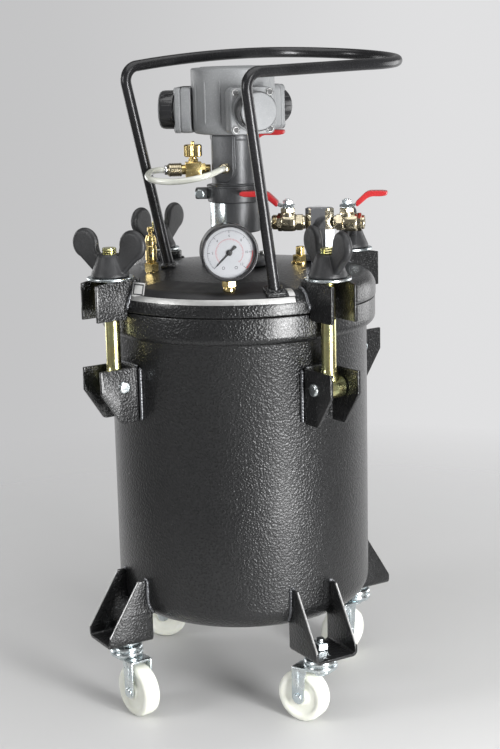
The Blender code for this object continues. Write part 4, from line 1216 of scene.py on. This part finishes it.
def make_ball_valve(name, node, base, turn, start, length, inset=19):
    """Ball valve along +X: union end, round body, hexagon and threaded open end."""
    place = spun(turn, base)
    along = place @ ALONG_X
    work = bmesh.new()
    neck = [(7, start), (7.4, start + 1), (7.4, start + 2.6)]
    add_turned(work, neck, 0.3, along, 40)
    add_hex(work, 16.6, start + 2.4, start + 9.6, along)
    middle = [(0, start + 9), (8.2, start + 9.4), (9.6, start + 11.6), (10, start + 15), (10, start + 23)]
    middle += [(9.4, start + 25.4), (8, start + 26.6), (0, start + 26.8)]
    add_turned(work, middle, 0.8, along, 56)
    add_hex(work, 17.2, start + 24.6, start + 30.4, along @ spun(30))
    ribs = []
    count = int((length - 1 - start - 31) / 1.3)
    for step in range(count):
        low = start + 31.2 + 1.3 * step
        ribs += [(7.6, low), (8.4, low + 0.65)]
    outer = [(7.6, start + 30.4)] + ribs + [(7.6, length - 1), (7.2, length)]
    ring = [(5, start + 27)] + outer + [(5.4, length), (5, length - 0.5)]
    add_lathe(work, ring, along, 48)
    stem_at = place @ at((start + inset, 0, 0))
    add_turned(work, [(8, 6), (8, 10.4), (7.2, 11.2)], 0.4, stem_at, 40)
    add_hex(work, 14.4, 11, 15.6, stem_at)
    piece(name, work, "nickel", "pot", node)
    top = bmesh.new()
    add_turned(top, [(5.6, 15.4), (5.6, 16.6), (3, 16.6), (3, 24.8), (2.4, 25.4)], 0.3, stem_at, 28)
    add_hex(top, 10, 19.8, 24, stem_at)
    piece(name + "_nut", top, "zinc", "pot")
    return stem_at @ at((0, 0, 17))


def make_lever(side, place, length):
    """Bent strip lever in a thick dipped vinyl sleeve."""
    body = "valve_lever_" + side
    thick, start, end, rise = 2.4, 8, 23, 14
    strip = bmesh.new()
    top = [(-7.6, thick), (start, thick), (end, rise + thick), (length - 2, rise + thick)]
    under = [(length - 2, rise), (end + 1, rise), (start + 1, 0), (-7.6, 0)]
    outline = soften(top + under, 2, 4, True)
    add_prism(strip, outline, -5.4, 5.4, place, "Y", 0.4)
    piece("lever_strip_" + side, strip, "zinc", body, body)
    sleeve = bmesh.new()
    top = [(9.4, 4.9), (end - 0.8, rise + 3.2), (length - 6, rise + 3.2), (length, rise + 2.6)]
    under = [(length, rise - 1.8), (length - 6, rise - 3), (end + 2.2, rise - 2.8), (11.2, -0.6)]
    outline = soften(top + under, 5, 6, True)
    add_prism(sleeve, outline, -6.5, 6.5, place, "Y", 2.1, 4)
    piece("lever_sleeve_" + side, sleeve, "red", body)


def make_manifold():
    """Chrome post with dip tube and two ball valves, and the motor's air valve."""
    base = (POST.x, POST.y, 0)
    post = bmesh.new()
    add_hex(post, 27, 488, 567.4, spun(30, base))
    add_turned(post, [(15.2, 486), (15.2, 494.5), (14.4, 495.6)], 0.6, at(base), 56)
    piece("post_block", post, "chrome", "pot", "manifold_post")
    tube = bmesh.new()
    add_ring(tube, [(3.4, 128), (5, 128), (5, 515), (3.4, 515)], 0.4, at(base), 32)
    piece("dip_pipe", tube, "steel", "pot", "dip_tube")
    centre = (POST.x, POST.y, VALVE_Z)
    start = 15.71
    for side, turn, length, lever, inset in (("left", 180, 52, 52, 19), ("right", 0, 49, 44, 14)):
        pivot = make_ball_valve("valve_" + side, "ball_valve_" + side, centre, turn, start, length, inset)
        make_lever(side, pivot, lever)
    start = NECK_R + 0.9
    pivot = make_ball_valve("valve_air", "air_valve", (0, 0, AIR_VALVE_Z), AIR_VALVE_ANGLE, start, start + 42)
    make_lever("air", pivot @ spun(-AIR_VALVE_ANGLE), 50)
    boss = bmesh.new()
    place = spun(AIR_VALVE_ANGLE, (0, 0, AIR_VALVE_Z)) @ ALONG_X
    add_turned(boss, [(10.5, 24), (10.5, 27.2)], 0.7, place, 40)
    piece("neck_air_boss", boss, "dark_grey", "pot")


def make_relief():
    """Relief valve with black discs as painted shade for its vent holes, and its pull stem."""
    place = spun(12, (RELIEF.x, RELIEF.y, 0))
    work = bmesh.new()
    add_hex(work, 14.8, 496.2, 506, place)
    add_turned(work, [(6.4, 490), (6.4, 496.4)], 0.4, place, 32)
    barrel = [(5.6, 505.5), (5.8, 508), (6.4, 509), (6.4, 524.6), (5.9, 525.2), (5.9, 526.4), (6.4, 527)]
    barrel += [(6.4, 531.6), (5, 536), (4.6, 537), (2.7, 537), (2.7, 528)]
    add_turned(work, barrel, 0.3, place, 48)
    piece("relief_body", work, "brass", "pot", "relief_valve")
    # Black discs on the barrel: painted shade for the vent holes.
    holes = bmesh.new()
    for bearing in (-92, -2, 88, 178):
        turned = place @ spun(bearing, (0, 0, 514.5)) @ ALONG_X
        add_turned(holes, [(1.7, 5.9), (1.7, 6.46)], 0.05, turned, 24)
    piece("relief_port_shade", holes, "ink", "pot")
    stem = bmesh.new()
    profile = [(2.3, 528.5), (2.3, 539.6), (3.3, 540.2), (3.6, 541.2), (3.6, 544.6), (2.8, 546)]
    add_turned(stem, profile, 0.4, place, 32)
    piece("relief_pin", stem, "brass", "relief_stem", "relief_stem")


def make_plug():
    place = spun(12, (PLUG.x, PLUG.y, 0))
    work = bmesh.new()
    add_turned(work, [(10.5, 494), (10.5, 499.6), (9.6, 500.4)], 0.5, place, 40)
    add_hex(work, 16.8, 500, 507, place)
    add_turned(work, [(5, 506.5), (5, 515.8), (4, 517)], 0.6, place, 32)
    piece("plug_hex", work, "brass", "pot", "filler_plug")


def make_needle_valve():
    """Speed valve on the neck: hexagon, block, bonnet, ribbed hose nut and knurled knob."""
    place = spun(NEEDLE_VALVE_ANGLE, (0, 0, NEEDLE_VALVE_Z))
    along = place @ ALONG_X
    work = bmesh.new()
    add_turned(work, [(5, 26.9), (5, 33)], 0.3, along, 32)
    add_hex(work, 12.4, 32.4, 37.4, along)
    block = plate(-8.3, -8.3, 8.3, 8.3, 1.6, 3)
    add_prism(work, block, 37.2, 54.8, place, "X", 0.7, 3)
    add_turned(work, [(5.5, 54.6), (5.5, 59.2)], 0.3, along, 32)
    bonnet = place @ at((46, 0, 0))
    add_hex(work, 10.8, 8, 12, bonnet)
    add_turned(work, [(4.4, 11.6), (4.4, 13.4), (2, 13.4), (2, 30.4), (1.5, 31)], 0.3, bonnet, 28)
    piece("speed_valve", work, "brass", "pot", "needle_valve")
    nut = bmesh.new()
    rings = [(0, 59), (7, 59), (7.5, 60)]
    for step in range(5):
        low = 60.4 + 2 * step
        rings += [(7.5, low), (7.5, low + 1.1), (6.9, low + 1.4), (6.9, low + 1.8)]
    rings += [(7.4, 70.6), (7.4, 72.6), (5, 75.6), (0, 75.6)]
    add_turned(nut, rings, 0.2, along, 40)
    piece("speed_valve_nut", nut, "nickel", "pot")
    collar = bmesh.new()
    add_turned(collar, [(4.9, 74.6), (5.5, 76.4), (4.9, 78.4), (0, 78.6)], 0.8, along, 32)
    piece("hose_collar", collar, "chrome", "pot")
    knob = bmesh.new()
    spot = place @ at((46, 0, 0))
    ridges = 28
    points = []
    levels = ((14, 8.8, 0), (15, 9.8, 1), (26, 9.8, 1), (27.4, 8.6, 0))
    for height, radius, depth in levels:
        for step in range(ridges * 2):
            far = radius + (0.25 if step % 2 else -0.25) * depth
            points.append(around(180 * step / ridges, far, height))
    for height in (27.4, 14):
        points += [around(180 * step / ridges, 2.6, height) for step in range(ridges * 2)]
    faces = band_faces(6, ridges * 2, True)
    merge(knob, mesh_from(points, faces), spot)
    piece("speed_knob", knob, "brass", "needle_valve_knob", "needle_valve_knob", smooth=25)


def curve_through(stops, steps):
    """Points on a smooth curve through the stops."""
    line = [Vector(stop) for stop in stops]
    line = [2 * line[0] - line[1]] + line + [2 * line[-1] - line[-2]]
    points = []
    for first, start, end, last in zip(line, line[1:], line[2:], line[3:]):
        for step in range(steps):
            t = step / steps
            pull = (end - first) * t + (2 * first - 5 * start + 4 * end - last) * t**2
            pull += (3 * start - first - 3 * end + last) * t**3
            points.append(start + pull / 2)
    points.append(line[-2])
    return points


def make_hose():
    """Open loop of air hose from the needle valve to the neck."""
    start = around(NEEDLE_VALVE_ANGLE, 77.4, NEEDLE_VALVE_Z)
    end = around(HOSE_PAD_ANGLE, 37.2, 609)
    stops = [start, (-80, -22.8, 607.4), (-85, -29, 607), (-88.5, -38.5, 605.4), (-87, -51, 602)]
    stops += [(-77, -62, 599.5), (-57, -68.5, 598.5), (-36, -68, 600.5), (-18, -60.5, 604.3)]
    stops += [(-9.6, -49.5, 608), end]
    work = bmesh.new()
    add_tube(work, curve_through(stops, 9), 3.45, STILL, 28)
    piece("hose_loop", work, "hose", "pot", "air_hose", smooth=60)


def handle_point(along, across, height):
    """A point in the handle's own directions: along its rails and across them."""
    half = math.sqrt(0.5)
    return Vector(((along - across) * half, (along + across) * half, height))


def bent_corner(before, corner, after, radius):
    """An arc of a rod that bends at a corner."""
    steps = 14
    back = (before - corner).normalized()
    ahead = (after - corner).normalized()
    half = back.angle(ahead) / 2
    middle = corner + (back + ahead).normalized() * (radius / math.sin(half))
    first = corner + back * (radius / math.tan(half)) - middle
    last = corner + ahead * (radius / math.tan(half)) - middle
    return [middle + first.lerp(last, step / steps).normalized() * radius for step in range(steps + 1)]


def make_handle():
    """Bent rod handle: two legs, two rails, a half-round end, and the welded foot pads."""
    far, near = 48.5, -137
    far_z, near_z = 731, 718
    far_foot = handle_point(-60, far, 498.7)
    near_foot = handle_point(-48.4, near, 491.6)
    far_corner = handle_point(-111, far, 719)
    near_corner = handle_point(-81, near, 714.6)
    radius = (far - near) / 2
    loop = []
    for step in range(49):
        angle = math.pi * step / 48
        share = (1 - math.cos(angle)) / 2
        across = (far + near) / 2 + radius * math.cos(angle)
        loop.append(handle_point(77 + radius * math.sin(angle), across, far_z + (near_z - far_z) * share))
    rail = []
    for step in range(2, 10):
        share = step / 10
        rise = (loop[0].z - far_corner.z) * share * (1 - share)
        rail.append(far_corner.lerp(loop[0], share) + Vector((0, 0, rise)))
    path = [far_foot] + bent_corner(far_foot, far_corner, rail[0], 16) + rail
    path += loop + bent_corner(loop[-1], near_corner, near_foot, 16) + [near_foot]
    work = bmesh.new()
    add_tube(work, path, 5.97, STILL, 32)
    piece("handle_rod", work, "rod_paint", "pot", "handle", smooth=60)
    pads = bmesh.new()
    for foot, bearing in ((far_foot, 150), (near_foot, -60)):
        radius = math.hypot(foot.x, foot.y)
        ground = lid_surface(radius)
        slope = math.degrees(math.atan2(lid_surface(radius - 4) - lid_surface(radius + 4), 8))
        outward = math.degrees(math.atan2(foot.y, foot.x))
        place = spun(outward, (foot.x, foot.y, ground + 0.2)) @ at(turn=(0, slope, 0))
        base = plate(-9, -11, 9, 11, 3)
        add_prism(pads, base, -1, 3.2, place, edge=0.8)
        ring = [around(15 * step, 6.6, 3.4) for step in range(25)]
        add_weld(pads, ring, 1.9, place, bearing)
    piece("handle_pads", pads, "paint", "pot", smooth=60)


# ------------------------------------------------------------------ studio


def make_camera():
    """The view: slightly right of the front and above, with a small tilt."""
    azimuth, pitch, pan, roll = (math.radians(angle) for angle in (10.18, 12.32, 0.383, -1.336))
    forward = Vector((math.sin(pan) * math.cos(pitch), math.cos(pan) * math.cos(pitch), -math.sin(pitch)))
    level = Vector((math.cos(pan), -math.sin(pan), 0.0))
    above = level.cross(forward)
    right = level * math.cos(roll) + above * math.sin(roll)
    up = above * math.cos(roll) - level * math.sin(roll)
    turn = Matrix.Rotation(azimuth, 4, "Z")
    basis = Matrix((right, up, -forward)).transposed().to_4x4()
    camera = link_object("camera", bpy.data.cameras.new("camera"))
    camera.matrix_world = Matrix.Translation(AXIS) @ turn @ Matrix.Translation((0.0, -1.7428, 0.7523)) @ basis
    camera.data.lens = 74.96
    camera.data.sensor_width = 36.0
    camera.data.clip_start = 0.05
    camera.data.clip_end = 60.0
    bpy.context.scene.camera = camera


def make_floor():
    """Pale round floor that fades out into the background."""
    n = Nodes("studio_floor")
    drift = n.noise(1.1, 3.0)
    shade = n.mix(n.ramp(drift, (0.3, 0.0), (0.7, 1.0)), (0.55, 0.55, 0.545), (0.58, 0.58, 0.58))
    look = n.finish(base_color=shade, roughness=0.55, normal=n.bump(n.noise(320.0, 2.0), 0.03, 0.0005))
    reach = n.add("VectorMath", {0: n.place}, operation="LENGTH").outputs["Value"]
    n.put(n.shader.inputs["Alpha"], n.ramp(n.math("MULTIPLY", reach, 0.5), (0.20, 1.0), (0.62, 0.0)))
    work = bmesh.new()
    bmesh.ops.create_circle(work, cap_ends=True, segments=96, radius=14.0)
    floor = link_object("floor", take_mesh(work, "floor"))
    floor.data.materials.append(look)


def add_light(name, bearing, radius, height, size, power, aim=0.4):
    """A rectangular lamp on a bearing about the origin, turned towards a height on its axis."""
    data = bpy.data.lights.new(name, "AREA")
    data.shape = "RECTANGLE"
    data.size, data.size_y = size
    data.energy = power
    item = link_object(name, data)
    item.location = around(bearing, radius, height)
    toward = Vector((0.0, 0.0, aim)) - item.location
    item.rotation_euler = toward.to_track_quat("-Z", "Y").to_euler()
    item.visible_camera = False


def make_studio():
    """Soft pale surroundings, brighter low behind the object, and six soft lamps."""
    world = bpy.data.worlds.new("studio")
    bpy.context.scene.world = world
    world.use_nodes = True
    tree = world.node_tree
    background = tree.nodes["Background"]
    place = tree.nodes.new("ShaderNodeTexCoord")
    parts = tree.nodes.new("ShaderNodeSeparateXYZ")
    tree.links.new(place.outputs["Generated"], parts.inputs[0])

    def span(socket, start, end, low, high):
        node = tree.nodes.new("ShaderNodeMapRange")
        node.interpolation_type = "SMOOTHSTEP"
        tree.links.new(socket, node.inputs["Value"])
        for key, value in (("From Min", start), ("From Max", end), ("To Min", low), ("To Max", high)):
            node.inputs[key].default_value = value
        return node.outputs["Result"]

    def times(first, second):
        node = tree.nodes.new("ShaderNodeMath")
        node.operation = "MULTIPLY"
        tree.links.new(first, node.inputs[0])
        tree.links.new(second, node.inputs[1])
        return node.outputs[0]

    behind = span(parts.outputs["Y"], 0.45, 0.82, 0.0, 1.0)
    below = span(parts.outputs["Z"], 0.03, 0.16, 1.0, 0.15)
    across = span(parts.outputs["X"], -0.33, -0.02, 0.35, 0.55)
    glow = times(times(behind, below), across)
    total = tree.nodes.new("ShaderNodeMath")
    total.inputs[1].default_value = 0.20
    tree.links.new(glow, total.inputs[0])
    tree.links.new(total.outputs[0], background.inputs["Strength"])
    background.inputs["Color"].default_value = (1.0, 1.0, 1.01, 1.0)
    add_light("key_strip", -42.0, 1.9, 0.95, (0.26, 1.1), 13.0)
    add_light("low_strip", -45.0, 1.2, 0.30, (0.36, 0.60), 19.0, 0.30)
    add_light("fill_left", -140.0, 1.8, 0.95, (0.4, 0.8), 9.5, 0.65)
    add_light("rim_left", 150.0, 1.8, 0.55, (1.2, 1.0), 9.5, 0.2)
    add_light("rim_right", 38.0, 1.8, 0.55, (1.2, 1.0), 9.5, 0.2)
    add_light("top", -60.0, 0.5, 2.6, (2.6, 2.6), 40.0)
    bpy.context.scene.view_settings.view_transform = "Standard"


make_camera()
make_floor()
make_studio()
make_tank()
make_lid()
make_label()
make_clamps_and_feet()
make_motor()
make_gauge()
make_manifold()
make_relief()
make_plug()
make_needle_valve()
make_hose()
make_handle()
